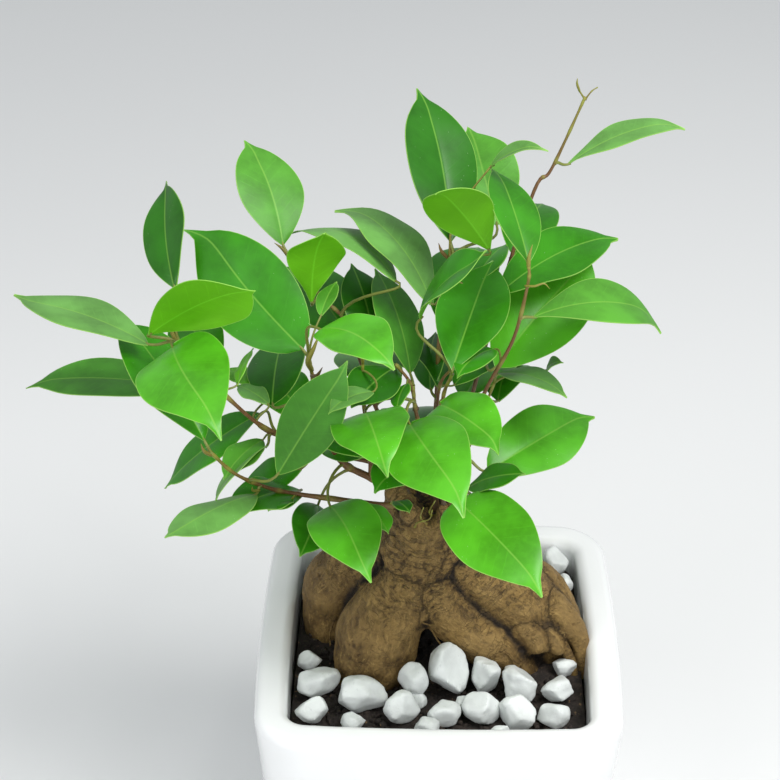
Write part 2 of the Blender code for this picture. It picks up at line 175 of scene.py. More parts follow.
# Side shoots that only show: the same, with how green each is from 0 to 1
SHOOTS = {
    "far_left_side": (1.0, 0.6, [(-46, 1, 25), (-59, -2, 31), (-65, -4, 38), (-70, -6, 45)], 0.3),
    "upright": (1.3, 0.7, [(-24, -3, 14), (-26, -4, 36), (-27, -4, 50), (-27, -4, 62)], 0.4),
    "centre_side": (1.1, 0.8, [(-9, -6, 44), (-11, -5, 54), (-16, -4, 61)], 0.1),
    "crown_side": (1.2, 0.7, [(-2, 12, 22), (-1, 3, 48), (4, 0, 58)], 0.3),
    "young": (0.8, 0.5, [
        (2, 15, 92), (2, 16, 100), (4, 18, 108), (10, 20, 116), (15, 22, 122),
    ], 1.0),
    "right_side": (1.1, 0.7, [(5, -2, 12), (12, 4, 30), (18, 9, 46)], 0.2),
    "top_1": (0.7, 0.3, [(-3, -8, 1), (-4, -12, 6), (-2, -14, 12)], 1.0),
    "top_2": (0.7, 0.3, [(6, -8, 1), (9, -10, 6), (13, -10, 9)], 1.0),
    "top_3": (0.6, 0.3, [(2, -12, 0), (4, -15, 4), (9, -16, 5)], 1.0),
    "top_4": (0.6, 0.3, [(10, -3, 1), (13, -7, 5), (12, -10, 10)], 0.9),
    "top_5": (0.5, 0.25, [(-9, -13, 0), (-8, -16, 4), (-4, -18, 7), (-3, -18, 11)], 1.0),
    "top_6": (0.5, 0.25, [(0, -15, 1), (1, -18, 5), (5, -19, 6), (8, -18, 9)], 1.0),
    "top_7": (0.5, 0.25, [(-5, -14, 2), (-7, -17, 7), (-6, -18, 12)], 0.9),
    "top_8": (0.5, 0.25, [(5, -13, 2), (7, -16, 3), (12, -16, 5), (14, -15, 9)], 1.0),
    "fork_1": (0.6, 0.3, [(46, 36, 140), (44, 36, 143), (43, 36, 145)], 1.0),
    "fork_2": (0.5, 0.3, [(46, 36, 140), (48, 36, 143), (50, 37, 144)], 0.9),
}

# Buds and stipules, pointed and curled: points, radius at the foot, how green
BUDS = [
    ([(-44, -7, 60), (-45, -9, 65), (-43, -9, 70), (-41, -8, 75)], 1.3, 0.9),
    ([(-44, -9, 59), (-42, -12, 61), (-40, -13, 65)], 1.0, 0.2),
    ([(26, -10, 95), (29, -12, 96), (32, -12, 97), (34, -12, 95)], 0.45, 1.0),
    ([(27, -9, 101), (27, -9, 105), (28, -8, 109)], 0.9, 1.0),
    ([(1, 14, 92), (-1, 13, 95), (-2, 13, 98)], 0.8, 0.3),
    ([(-88, -8, 70), (-90, -8, 75), (-90, -7, 79)], 0.9, 0.9),
    ([(-77, -26, 38), (-79, -28, 41), (-80, -28, 44)], 0.8, 0.8),
    ([(-27, -4, 61), (-27, -5, 65), (-26, -5, 69)], 0.8, 0.9),
    ([(-52, 25, 84), (-55, 26, 88), (-58, 27, 90)], 0.8, 0.8),
    ([(44, 36, 143), (43, 35, 146), (43, 35, 148)], 0.5, 1.0),
    ([(-62, -19, 19), (-64, -22, 21), (-64, -24, 24)], 0.6, 1.0),
    ([(-50, -15, 14), (-51, -18, 15), (-50, -20, 18)], 0.6, 1.0),
]

# Leaves in the frame: twig, foot of the blade (height above the graft), heading, pitch, roll,
# length, width, bow, fold, tone. Then, where a leaf isn't plain: the tip's curl down, the sway to
# one side, how far out it is widest, the tip's hook to one side and how full the base is.
LEAVES = [
    ("far_left", (-89, -2, 88), 98, 32, -44, 42, 20, 2, 0.2, "dark", 0, 1, 0.5, 0, -0.6),
    ("far_left", (-97, -13, 77), -22, 33, -54, 47, 28, 4, -0.1, "lime", 0, 1, 0.55),
    ("far_left", (-89, -16, 74), -65, -3, 20, 50, 31, 6, 0.0, "bright", 3, -3, 0.4, 0, 1),
    ("far_left", (-98, -8, 70), 163, 9, 7, 50, 24, 4, 0.1, "pale", -2, 2, 0.5, -2),
    ("far_left", (-87, 8, 42), 173, -2, 0, 58, 24, 4, 0.1, "dull", -1, 2, 0.5, 3),
    ("far_left", (-63, 8, 33), 186, -40, -11, 46, 20, 3, 0.1, "mid", 0, 1),
    ("low_left", (-79, -25, 43), 131, 29, 7, 54, 25, 4, 0.1, "mid", 1, 2),
    ("low_left", (-63, -20, 18), -130, 6, 9, 44, 20, 3, -0.2, "pale", -2, 2),
    ("low_left", (-55, -27, 31), 12, 59, 55, 48, 20, 2, 0.1, "dull", 1, 0, 0.5, 1, -0.4),
    ("left_front", (-47, -5, 67), 141, 35, -39, 57, 30, 3, 0.05, "mid", -2, 3, 0.45, 3.5, 0.3),
    ("left_front", (-58, -4, 44), 87, 7, -12, 38, 21, 3, 0.1, "dark", 0, 0, 0.5, 0, 0.4),
    ("left_front", (-40, -22, 85), -50, 6, 10, 37, 21, 4, 0.15, "bright", 2, 2, 0.5, -1, 0.6),
    ("left_front", (-38, -22, 15), -70, -2, 10, 42, 24, 5, 0.05, "bright", 1, 1, 0.42, 0, 0.9),
    ("left_front", (-43, -6, 4), -99, -1, -30, 30, 16, 3, 0.1, "mid"),
    ("back_left", (-55, 27, 89), 115, 36, 4, 42, 24, 3, 0.1, "light", 0, -2, 0.5, 2, -0.2),
    ("back_left", (-45, 14, 73), -59, 72, -14, 34, 20, 5, -0.1, "lime", 0, 0, 0.6, 0, -0.6),
    ("back_left", (-16, 12, 84), 144, 4, 17, 46, 22, 8, 0.0, "pale", 0, 1),
    ("back_left", (-23, 10, 56), 108, 33, 12, 36, 18, 3, 0.1, "dark"),
    ("back_left", (-30, 22, 50), 125, 15, 0, 50, 26, 6, 0.1, "mid", 2, 2),
    ("centre", (-13, -8, 31), -153, 16, -13, 34, 20, 3, 0.0, "mid"),
    ("centre", (-26, -16, 49), -79, 7, 10, 43, 26, 5, 0.0, "bright", 2, 0, 0.38, 0, 1),
    ("centre", (-11, 1, 54), 111, 32, 25, 42, 20, 3, 0.1, "dull"),
    ("centre", (-11, -24, 50), -67, -1, 20, 50, 28, 6, 0.0, "bright", 2, -2, 0.42, -1.5, 1),
    ("front", (-1, -12, 50), -57, 6, 20, 38, 22, 4, 0.1, "bright", 1, -1, 0.45, -2, 0.9),
    ("front", (-8, -8, 81), -14, 48, 7, 36, 20, 4, 0.3, "mid", -3),
    ("front", (3, -14, 65), 70, 29, 0, 44, 25, 3, 0.1, "mid", 0, -1, 0.52, 0, -0.2),
    ("crown", (2, 16, 97), 105, 42, 19, 56, 28, 3, 0.1, "dark", 0, -1, 0.5, 2, -0.3),
    ("crown", (18, 30, 96), 104, 28, -3, 42, 25, 3, 0.1, "light", 0, 1),
    ("crown", (15, 6, 99), -142, 52, 49, 40, 22, 3, 0.1, "olive", 4, 0, 0.55, 1, -0.4),
    ("crown", (-4, 10, 76), 133, 24, 15, 50, 24, 7, 0.1, "pale", 2, 1, 0.5, 2),
    ("crown", (2, 26, 55), 75, 12, 0, 50, 26, 7, 0.1, "mid", 2, 2),
    ("right", (27, -8, 102), 107, 27, 24, 40, 20, 2, 0.15, "vivid", 1, 1, 0.5, 1, -0.5),
    ("right", (29, -8, 82), 19, -10, 7, 47, 24, 7, 0.1, "light", 3, -2, 0.55, -3, -0.2),
    ("right", (16, -9, 21), 40, 6, 24, 48, 25, 3, 0.1, "bright", 0, -1, 0.5, -2, 0.4),
    ("right", (5, -22, 18), -54, -9, 20, 50, 28, 5, 0.05, "bright", 1, -1, 0.42, -1, 0.9),
    ("whip", (19, 10, 81), 31, 11, 7, 48, 24, 4, 0.1, "mid", 1, 1, 0.5, -1.5),
    ("whip", (18, 1, 57), 46, 27, 23, 55, 30, 4, 0.1, "bright", 0, 0, 0.5, 1, 0.3),
    ("whip", (41, 36, 116), 21, 12, 0, 44, 14, 3, 0.1, "pale", 3, 2, 0.55, -2, -0.5),
]

# Small and hidden leaves that only show, on the nearest twig or shoot, with the same columns
SMALL_LEAVES = [
    ((-62, 0, 27), -125, -12, 4, 22, 14, 2, 0.1, "light", 1),
    ((-60, -3, 27), -126, -14, 40, 30, 14, 2, 0.1, "pale", 1),
    ((-49, -6, 10), -133, 12, -5, 34, 20, 3, 0.1, "mid"),
    ((-52, -16, 13), -119, 15, 13, 14, 10, 1, 0.1, "mid"),
    ((-27, -19, 15), -56, -12, -17, 17, 11, 1, 0.1, "bright"),
    ((-11, -14, 28), -129, -5, -8, 19, 16, 2, 0.1, "mid", 1, 1, 0.5, 0, 0.8),
    ((-23, -17, 58), -136, 3, -2, 20, 10, 2, 0.2, "pale", 1),
    ((-41, 0, 77), 69, 23, -16, 15, 8, 1, 0.2, "light"),
    ((-16, 2, 56), -124, -6, -7, 26, 18, 2, 0.1, "dark"),
    ((-59, -5, 45), 138, 2, 2, 16, 9, 1, 0.1, "pale"),
    ((-69, -9, 55), 76, 14, -45, 18, 7, 1, 0.1, "lime"),
    ((-12, -8, 56), -106, -18, 30, 12, 8, 1, 0.1, "mid"),
    ((15, 22, 122), -28, 33, 23, 22, 7, 2, 0.5, "pale", 3),
    ((19, 10, 49), -35, 3, -3, 28, 13, 3, 0.1, "pale", 1),
    ((36, 14, 48), -43, 45, 35, 9, 6, 1, 0.3, "pale", 1),
    ((-1, 8, 44), 102, 12, 34, 26, 18, 2, 0.1, "dark"),
    ((17, -2, 66), -129, -3, 6, 20, 14, 2, 0.2, "mid", 1),
    ((10, 14, 81), 60, 13, -18, 24, 14, 2, 0.1, "mid"),
    ((9, -12, 16), -30, 32, 18, 26, 13, 2, 0.1, "mid"),
    ((-16, -16, 13), -54, 2, -7, 9, 7, 1, 0.1, "dark"),
    ((0, 22, 38), 150, 8, 10, 40, 22, 4, 0.1, "mid", 2, 1),
    ((8, 24, 30), 60, -4, -12, 42, 24, 5, 0.1, "bright", 2, -1, 0.45),
    ((24, 30, 84), 70, 6, 8, 36, 20, 4, 0.1, "mid", 1, 1),
    ((-20, 20, 32), 110, -8, 6, 42, 24, 5, 0.1, "bright", 2, 1, 0.45),
    ((-48, 8, 30), 120, -2, -10, 36, 20, 4, 0.1, "mid", 1, -1),
    ((-76, 0, 58), 118, 4, -20, 34, 19, 3, 0.1, "mid", 1, 1),
    ((-12, 20, 20), 90, -26, 0, 36, 20, 4, 0.1, "mid", 2),
    ((14, 20, 56), 120, 14, 14, 34, 18, 4, 0.1, "dark", 1),
    ((20, 22, 30), 75, -8, -10, 34, 19, 4, 0.1, "mid", 2, 1),
    ((-10, -8, 35), 162, -22, -18, 38, 22, 3, 0.1, "mid", 1, 0, 0.5, 0, 0.3),
    ((-4, 8, 43), 86, 20, -32, 26, 14, 2, 0.1, "dark"),
    ((4, 5, 47), 50, 8, -2, 24, 14, 2, 0.1, "mid", 1),
    ((-49, 0, 15), 162, -36, -32, 30, 17, 2, 0.1, "mid"),
    ((-59, 5, 44), 141, -3, 0, 24, 12, 2, 0.1, "lime"),
]

# Pebbles that fill the front, sides and back: x, y, size, turn
EXTRA_PEBBLES = [
    (-45, -38, 12, 20), (-13, -38, 13, 80), (2, -38, 12, 140), (15, -37, 14, 200),
    (28, -39, 13, 10), (41, -38, 12, 60), (-30, -44, 9, 100), (-4, -47, 9, 30),
    (22, -47, 8, 50), (46, -12, 9, 90), (-47, -12, 9, 10), (46, 20, 9, 150),
    (-30, 46, 12, 20), (-14, 48, 10, 60), (4, 46, 13, 100), (20, 47, 11, 140),
    (34, 46, 11, 30), (-47, 30, 10, 70), (-8, -31, 8, 5), (10, -33, 8, 15),
]

# Top colour, underside colour, roughness of each leaf tone
TONES = {
    "bright": ((0.072, 0.35, 0.01), (0.14, 0.38, 0.03), 0.33),
    "vivid": ((0.03, 0.215, 0.001), (0.14, 0.4, 0.02), 0.38),
    "mid": ((0.03, 0.22, 0.002), (0.1, 0.32, 0.015), 0.32),
    "dull": ((0.055, 0.245, 0.014), (0.12, 0.3, 0.04), 0.42),
    "dark": ((0.016, 0.13, 0.001), (0.08, 0.25, 0.01), 0.3),
    "light": ((0.075, 0.29, 0.02), (0.16, 0.4, 0.06), 0.45),
    "pale": ((0.12, 0.32, 0.06), (0.18, 0.38, 0.09), 0.42),
    "olive": ((0.09, 0.36, 0.001), (0.12, 0.42, 0.001), 0.48),
    # Painted light: the glow of light shining through the leaf from behind, on top and underside
    # alike.
    "lime": ((0.13, 0.5, 0.001), (0.14, 0.5, 0.001), 0.48),
}


# ---------------------------------------------------------------- selecting and finishing


def deselect():
    """Leave edit mode and select nothing."""
    if bpy.context.object and bpy.context.object.mode != "OBJECT":
        bpy.ops.object.mode_set(mode="OBJECT")
    bpy.ops.object.select_all(action="DESELECT")


def activate(obj):
    """Select one object alone and make it the active one."""
    deselect()
    obj.select_set(True)
    bpy.context.view_layer.objects.active = obj


def pick(obj, kind, test):
    """In edit mode, select only the vertices, edges or faces that pass a test on their middle."""
    mesh = bmesh.from_edit_mesh(obj.data)
    bpy.context.tool_settings.mesh_select_mode = (kind == "VERT", kind == "EDGE", kind == "FACE")
    mesh.select_mode = {kind}
    for parts in (mesh.faces, mesh.edges, mesh.verts):
        for part in parts:
            part.select = False
    for part in {"VERT": mesh.verts, "EDGE": mesh.edges, "FACE": mesh.faces}[kind]:
        corners = [part.co] if kind == "VERT" else [corner.co for corner in part.verts]
        if test(sum(corners, Vector()) / len(corners)):
            part.select_set(True)
    mesh.select_flush_mode()
    bmesh.update_edit_mesh(obj.data)


def apply_all(obj):
    """Apply an object's modifiers in order, and put its place into its mesh."""
    activate(obj)
    for modifier in list(obj.modifiers):
        bpy.ops.object.modifier_apply(modifier=modifier.name)
    bpy.ops.object.transform_apply(location=True, rotation=True, scale=True)


def add_modifier(obj, kind, **settings):
    """Add a modifier with its settings."""
    modifier = obj.modifiers.new(kind.lower(), kind)
    for key, value in settings.items():
        setattr(modifier, key, value)


def close_shell():
    """Point every face outwards and leave edit mode."""
    bpy.ops.mesh.select_all(action="SELECT")
    bpy.ops.mesh.normals_make_consistent(inside=False)
    bpy.ops.object.mode_set(mode="OBJECT")


def cut_off(place, line):
    """In edit mode, cut off all that lies beyond a plane, and close the cut."""
    bpy.ops.mesh.select_all(action="SELECT")
    bpy.ops.mesh.bisect(plane_co=place, plane_no=line, use_fill=True, clear_outer=True)


def vertex_values(mesh, key):
    """The place ("co") or direction ("normal") of every vertex, one row each."""
    values = np.zeros(len(mesh.vertices) * 3)
    mesh.vertices.foreach_get(key, values)
    return values.reshape(-1, 3)


def finish_piece(obj, name, nodes=()):
    """Name a piece, ride it on the body and hide the CAD nodes that it stands for."""
    obj.name = name
    obj.data.name = name
    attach(obj, "root")
    if nodes:
        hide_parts(*nodes)
    return obj


def mesh_object(name, points, faces, smooth_angle=None):
    """A mesh object from plain points and faces."""
    mesh = bpy.data.meshes.new(name)
    mesh.from_pydata([tuple(p) for p in points], [], [tuple(f) for f in faces])
    mesh.update()
    obj = bpy.data.objects.new(name, mesh)
    bpy.context.scene.collection.objects.link(obj)
    mesh.shade_smooth()
    if smooth_angle:
        mesh.set_sharp_from_angle(angle=math.radians(smooth_angle))
    return obj


def write_attribute(obj, name, values, kind="FLOAT"):
    """Store one number or vector for each vertex."""
    layer = obj.data.attributes.new(name, kind, "POINT")
    key = "vector" if kind == "FLOAT_VECTOR" else "value"
    layer.data.foreach_set(key, np.asarray(values, np.float32).ravel())


# ---------------------------------------------------------------- paths and tubes


def smooth_path(points, steps=CURVE_STEPS):
    """Points along a smooth curve through the given ones (a Catmull-Rom curve)."""
    p = np.array(points, float)
    p = np.vstack([2 * p[0] - p[1], p, 2 * p[-1] - p[-2]])
    path = []
    for a, b, c, d in zip(p, p[1:], p[2:], p[3:]):
        for t in np.arange(steps) / steps:
            bend = (2 * a - 5 * b + 4 * c - d) * t**2 + (3 * b - a - 3 * c + d) * t**3
            path.append((2 * b + (c - a) * t + bend) / 2)
    path.append(p[-2])
    return np.array(path)


def tube(path, radii, sides):
    """Points and faces of a closed tube, whose rings turn as little as possible."""
    path = np.asarray(path, float)
    lines = np.gradient(path, axis=0)
    lines /= np.linalg.norm(lines, axis=1)[:, None]
    across = np.cross(lines[0], (0.31, 0.95, 0.05))
    points = []
    turn = np.arange(sides) / sides * 2 * math.pi
    for centre, line, radius in zip(path, lines, radii):
        across = across - line * across.dot(line)
        across /= np.linalg.norm(across)
        other = np.cross(line, across)
        ring = np.outer(np.cos(turn), across) + np.outer(np.sin(turn), other)
        points.append(centre + radius * ring)
    faces = []
    rings = len(path)
    for i in range(rings - 1):
        for j in range(sides):
            k = (j + 1) % sides
            faces.append((i * sides + j, i * sides + k, (i + 1) * sides + k, (i + 1) * sides + j))
    faces.append(tuple(range(sides))[::-1])
    faces.append(tuple(range((rings - 1) * sides, rings * sides)))
    return np.vstack(points), faces


def above_graft(points):
    """Points given above the graft, in metres."""
    return (np.array(points, float) + (0, 0, GRAFT)) * MM


def above_soil(points):
    """Points given above the soil, in metres."""
    return (np.array(points, float) + (0, 0, SOIL_TOP)) * MM


# ---------------------------------------------------------------- materials


def put(tree, kind, inputs=(), **settings):
    """Add a shader node; inputs are (socket, value or socket to link)."""
    node = tree.nodes.new(kind)
    for key, value in settings.items():
        setattr(node, key, value)
    for socket, value in inputs:
        if isinstance(value, bpy.types.NodeSocket):
            tree.links.new(value, node.inputs[socket])
        else:
            node.inputs[socket].default_value = value
    return node


def calc(tree, operation, *values):
    """A Math node."""
    return put(tree, "ShaderNodeMath", list(enumerate(values)), operation=operation).outputs[0]


def vector_calc(tree, operation, *values):
    """A Vector Math node."""
    inputs = list(enumerate(values))
    return put(tree, "ShaderNodeVectorMath", inputs, operation=operation).outputs[0]


def times(tree, a, b):
    """One number times another."""
    return calc(tree, "MULTIPLY", a, b)


def step(tree, value, low, high):
    """0 below low, 1 above high, smooth between."""
    inputs = [(0, value), (1, low), (2, high), (3, 0.0), (4, 1.0)]
    return put(tree, "ShaderNodeMapRange", inputs, interpolation_type="SMOOTHSTEP").outputs[0]


def blend(tree, share, a, b):
    """One colour turning into another."""
    a = (*a, 1.0) if isinstance(a, (tuple, list)) else a
    b = (*b, 1.0) if isinstance(b, (tuple, list)) else b
    return put(tree, "ShaderNodeMix", [(0, share), (6, a), (7, b)], data_type="RGBA").outputs[2]


def layered(tree, colour, layers):
    """Lay colours over one another: each layer is (where, how strongly, colour)."""
    for where, strength, paint in layers:
        colour = blend(tree, times(tree, where, strength), colour, paint)
    return colour


def grain(tree, vector, scale, detail=3.0, roughness=0.55):
    """Noise from 0 to 1."""
    inputs = [("Vector", vector), ("Scale", scale), ("Detail", detail), ("Roughness", roughness)]
    return put(tree, "ShaderNodeTexNoise", inputs).outputs[0]


def stretch(tree, vector, scale):
    """A vector with each axis scaled."""
    return put(tree, "ShaderNodeMapping", [("Vector", vector), ("Scale", scale)]).outputs[0]


def object_place(tree):
    """The place on the object, in metres."""
    return put(tree, "ShaderNodeTexCoord").outputs["Object"]


def attribute(tree, name):
    """A value stored on the mesh's points."""
    return put(tree, "ShaderNodeAttribute", attribute_name=name)


def new_material(name, roughness, **sockets):
    """A Principled material with an empty tree around its shader."""
    made = bpy.data.materials.new(name)
    made.use_nodes = True
    shader = made.node_tree.nodes["Principled BSDF"]
    shader.inputs["Roughness"].default_value = roughness
    for key, value in sockets.items():
        shader.inputs[key.replace("_", " ")].default_value = value
    return made, made.node_tree, shader.inputs


def bump(tree, sockets, height, strength, distance):
    """Let a height show as bumps."""
    inputs = [("Height", height), ("Strength", strength), ("Distance", distance)]
    tree.links.new(put(tree, "ShaderNodeBump", inputs).outputs[0], sockets["Normal"])


def glaze_material(colour):
    """White glaze: glossy, faintly cloudy and uneven."""
    made, tree, sockets = new_material("white_glaze", 0.1, Coat_Weight=0.4, Coat_Roughness=0.05)
    place = object_place(tree)
    cloud = grain(tree, place, 22.0, 2.0)
    shade = tuple(c * 0.965 for c in colour)
    tree.links.new(blend(tree, step(tree, cloud, 0.35, 0.65), shade, colour), sockets["Base Color"])
    tree.links.new(step(tree, grain(tree, place, 60.0), -0.6, 6.0), sockets["Roughness"])
    bump(tree, sockets, grain(tree, place, 45.0, 1.0), 0.12, 0.001)
    return made


def soil_material(colour):
    """Dark soil: clumps with pale flecks."""
    made, tree, sockets = new_material("dark_soil", 0.92)
    place = object_place(tree)
    clumps = grain(tree, place, 260.0, 6.0, 0.7)
    flecks = step(tree, grain(tree, place, 520.0, 2.0), 0.66, 0.72)
    brown = tuple(c * 4 for c in colour)
    ground = blend(tree, step(tree, clumps, 0.4, 0.75), colour, brown)
    tree.links.new(blend(tree, flecks, ground, (0.16, 0.1, 0.05)), sockets["Base Color"])
    bump(tree, sockets, clumps, 0.8, 0.0015)
    return made


def stone_material(colour):
    """White stone: cloudy, with small grey pits."""
    made, tree, sockets = new_material("white_stone", 0.5)
    place = object_place(tree)
    cloud = step(tree, grain(tree, place, 90.0, 4.0), 0.3, 0.7)
    stone = blend(tree, cloud, tuple(c * 0.8 for c in colour), colour)
    pits = step(tree, grain(tree, place, 900.0, 3.0), 0.62, 0.7)
    colour = blend(tree, times(tree, pits, 0.35), stone, (0.4, 0.42, 0.42))
    tree.links.new(colour, sockets["Base Color"])
    bump(tree, sockets, grain(tree, place, 700.0, 4.0, 0.65), 0.25, 0.0006)
    return made


def bark_material(light, dark):
    """Bark: mottled browns, with a golden painted highlight on the crests and nearly black painted
    shade in the creases and near the soil.
    """
    made, tree, sockets = new_material("root_bark", 0.7, Specular_IOR_Level=0.35)
    place = object_place(tree)
    lie = attribute(tree, "lie").outputs["Vector"]
    shade_and_highlight = attribute(tree, "shade_and_highlight").outputs["Fac"]
    # Bend the pattern about, so that no fibre runs straight.
    drift = put(tree, "ShaderNodeTexNoise", [("Vector", place), ("Scale", 110.0), ("Detail", 3.0)])
    sway = vector_calc(tree, "MULTIPLY", drift.outputs[1], (7, 7, 7))
    wobble = vector_calc(tree, "ADD", lie, sway)
    fine = grain(tree, stretch(tree, wobble, (0.9, 0.35, 1)), 1.3, 5.0, 0.7)
    strands = grain(tree, stretch(tree, wobble, (0.8, 0.22, 1)), 0.55, 3.0, 0.6)
    fibres = calc(tree, "ADD", times(tree, fine, 0.5), times(tree, strands, 0.5))
    cells = [("Vector", stretch(tree, wobble, (0.16, 0.42, 1))), ("Scale", 1.0)]
    creases = put(tree, "ShaderNodeTexVoronoi", cells, feature="DISTANCE_TO_EDGE")
    crease = step(tree, creases.outputs["Distance"], 0.07, 0.0)
    broken = step(tree, grain(tree, place, 130.0, 2.0), 0.48, 0.6)
    crease = times(tree, crease, broken)
    # The neck carries short wrinkles across its growth.
    upper = step(tree, put(tree, "ShaderNodeSeparateXYZ", [(0, place)]).outputs[2], 0.118, 0.14)
    wrinkles = grain(tree, stretch(tree, wobble, (0.26, 0.95, 1)), 0.8, 3.0, 0.6)
    wrinkle = times(tree, step(tree, wrinkles, 0.48, 0.4), upper)
    cloud = grain(tree, place, 42.0, 3.0)
    mottle = grain(tree, place, 330.0, 5.0, 0.7)
    fleck = step(tree, grain(tree, stretch(tree, wobble, (0.8, 0.5, 1)), 1.0, 3.0, 0.6), 0.68, 0.76)
    colour = blend(tree, step(tree, cloud, 0.32, 0.68), dark, light)
    # Each layer: where it shows, how strongly, and its colour, from the ground up.
    layers = [
        (step(tree, mottle, 0.5, 0.38), 0.45, (0.06, 0.035, 0.011)),
        (step(tree, fibres, 0.5, 0.38), 0.75, (0.05, 0.029, 0.01)),
        (step(tree, fibres, 0.52, 0.64), 0.6, (0.38, 0.25, 0.085)),
        (crease, 0.2, (0.04, 0.024, 0.01)),
        (wrinkle, 0.65, (0.04, 0.024, 0.01)),
        (fleck, 0.5, (0.5, 0.36, 0.18)),
        # Painted highlight on the crests, then painted shade in the creases and where the roots
        # meet the soil.
        (step(tree, shade_and_highlight, 0.0, -0.5), 0.4, (0.34, 0.22, 0.075)),
        (step(tree, shade_and_highlight, 0.0, 0.9), 1.0, (0.016, 0.01, 0.006)),
    ]
    colour = layered(tree, colour, layers)
    tree.links.new(colour, sockets["Base Color"])
    height = calc(tree, "ADD", fibres, times(tree, mottle, 0.6))
    height = calc(tree, "SUBTRACT", height, times(tree, crease, 0.25))
    height = calc(tree, "SUBTRACT", height, times(tree, wrinkle, 0.35))
    bump(tree, sockets, height, 0.95, 0.0015)
    return made


def twig_material():
    """Twig bark: brown and rough at the foot, reddish then green at the tip, pale at each node."""
    made, tree, sockets = new_material("twig_bark", 0.5)
    place = object_place(tree)
    age = attribute(tree, "age").outputs["Fac"]
    joint = attribute(tree, "joint").outputs["Fac"]
    speck = grain(tree, stretch(tree, place, (1, 1, 0.3)), 900.0, 3.0, 0.6)
    colour = blend(tree, step(tree, age, 0.05, 0.35), (0.08, 0.052, 0.026), (0.13, 0.056, 0.015))
    colour = blend(tree, step(tree, age, 0.65, 1.1), colour, (0.2, 0.2, 0.025))
    colour = blend(tree, times(tree, step(tree, speck, 0.5, 0.7), 0.5), colour, (0.24, 0.13, 0.05))
    colour = blend(tree, times(tree, joint, 0.7), colour, (0.26, 0.28, 0.04))
    tree.links.new(colour, sockets["Base Color"])
    bump(tree, sockets, speck, 0.4, 0.0004)
    return made


def leaf_material(name, top, under, roughness):
    """A leaf: waxy top with pale midrib, side veins, margin and specks, and a paler underside."""
    made, tree, sockets = new_material(f"leaf_{name}", roughness, Specular_IOR_Level=0.35)
    place = object_place(tree)
    spread = attribute(tree, "lay").outputs["Vector"]
    lay = put(tree, "ShaderNodeSeparateXYZ", [(0, spread)])
    below = attribute(tree, "below").outputs["Fac"]
    aside, along, margin = lay.outputs
    away = calc(tree, "ABSOLUTE", aside)
    wander = times(tree, grain(tree, place, 90.0, 2.0), 1.6)
    slant = calc(tree, "SUBTRACT", calc(tree, "ADD", along, wander), times(tree, away, 0.75))
    slant = calc(tree, "ADD", slant, times(tree, calc(tree, "SIGN", aside), 0.8))
    vein_gap = 4.2
    wave = calc(tree, "PINGPONG", calc(tree, "DIVIDE", slant, vein_gap), 0.5)
    vein = times(tree, step(tree, wave, 0.4, 0.5), step(tree, margin, 0.8, 2.4))
    vein = times(tree, vein, step(tree, grain(tree, place, 160.0, 2.0), 0.35, 0.65))
    rib = step(tree, away, 0.45, 0.1)
    edge = step(tree, margin, 0.3, 0.1)
    cloud = grain(tree, place, 55.0, 3.0)
    fine = grain(tree, place, 600.0, 2.0)
    spots = put(tree, "ShaderNodeTexVoronoi", [("Vector", spread), ("Scale", 0.42)])
    spot = step(tree, spots.outputs["Distance"], 0.06, 0.04)
    spot = times(tree, spot, step(tree, cloud, 0.45, 0.6))
    deep, fresh = tuple(c * 0.72 for c in top), tuple(c * 1.2 + 0.002 for c in top)
    patchy = step(tree, cloud, 0.3, 0.7)
    colour = layered(tree, blend(tree, patchy, deep, fresh), [
        (step(tree, fine, 0.4, 0.7), 0.18, fresh),
        (vein, 0.16, tuple(c * 1.5 + 0.004 for c in top)),
        (rib, 0.4, (0.24, 0.5, 0.07)),
        (spot, 0.6, (0.6, 0.75, 0.5)),
    ])
    back = layered(tree, blend(tree, patchy, tuple(c * 0.85 for c in under), under), [
        (vein, 0.2, tuple(c * 1.3 + 0.004 for c in under)),
        (rib, 0.5, tuple(c * 1.3 + 0.02 for c in under)),
    ])
    colour = layered(tree, blend(tree, below, colour, back), [(edge, 0.65, (0.3, 0.55, 0.1))])
    tree.links.new(colour, sockets["Base Color"])
    worn = calc(tree, "ADD", roughness, times(tree, below, 0.2))
    tree.links.new(calc(tree, "ADD", worn, times(tree, fine, 0.06)), sockets["Roughness"])
    height = calc(tree, "SUBTRACT", times(tree, cloud, 0.5), times(tree, vein, 0.1))
    height = calc(tree, "ADD", height, times(tree, fine, 0.05))
    bump(tree, sockets, height, 0.3, 0.0005)
    return made


def stalk_material():
    """Leaf stalks: speckled green."""
    made, tree, sockets = new_material("leaf_stalk", 0.45)
    speck = grain(tree, object_place(tree), 400.0, 2.0)
    colour = blend(tree, speck, (0.12, 0.14, 0.02), (0.22, 0.25, 0.045))
    tree.links.new(colour, sockets["Base Color"])
    bump(tree, sockets, speck, 0.2, 0.0003)
    return made


def material_once(name, make):
    """A material by name, made the first time it is asked for."""
    return bpy.data.materials.get(name) or make()


# ---------------------------------------------------------------- pot


def extrude_to(height, rise, scale):
    """Extrude the selected face upwards and size it about the middle."""
    bpy.ops.mesh.extrude_region_move(TRANSFORM_OT_translate={"value": (0, 0, rise)})
    bpy.ops.transform.resize(value=(scale, scale, 1), center_override=(0, 0, height))


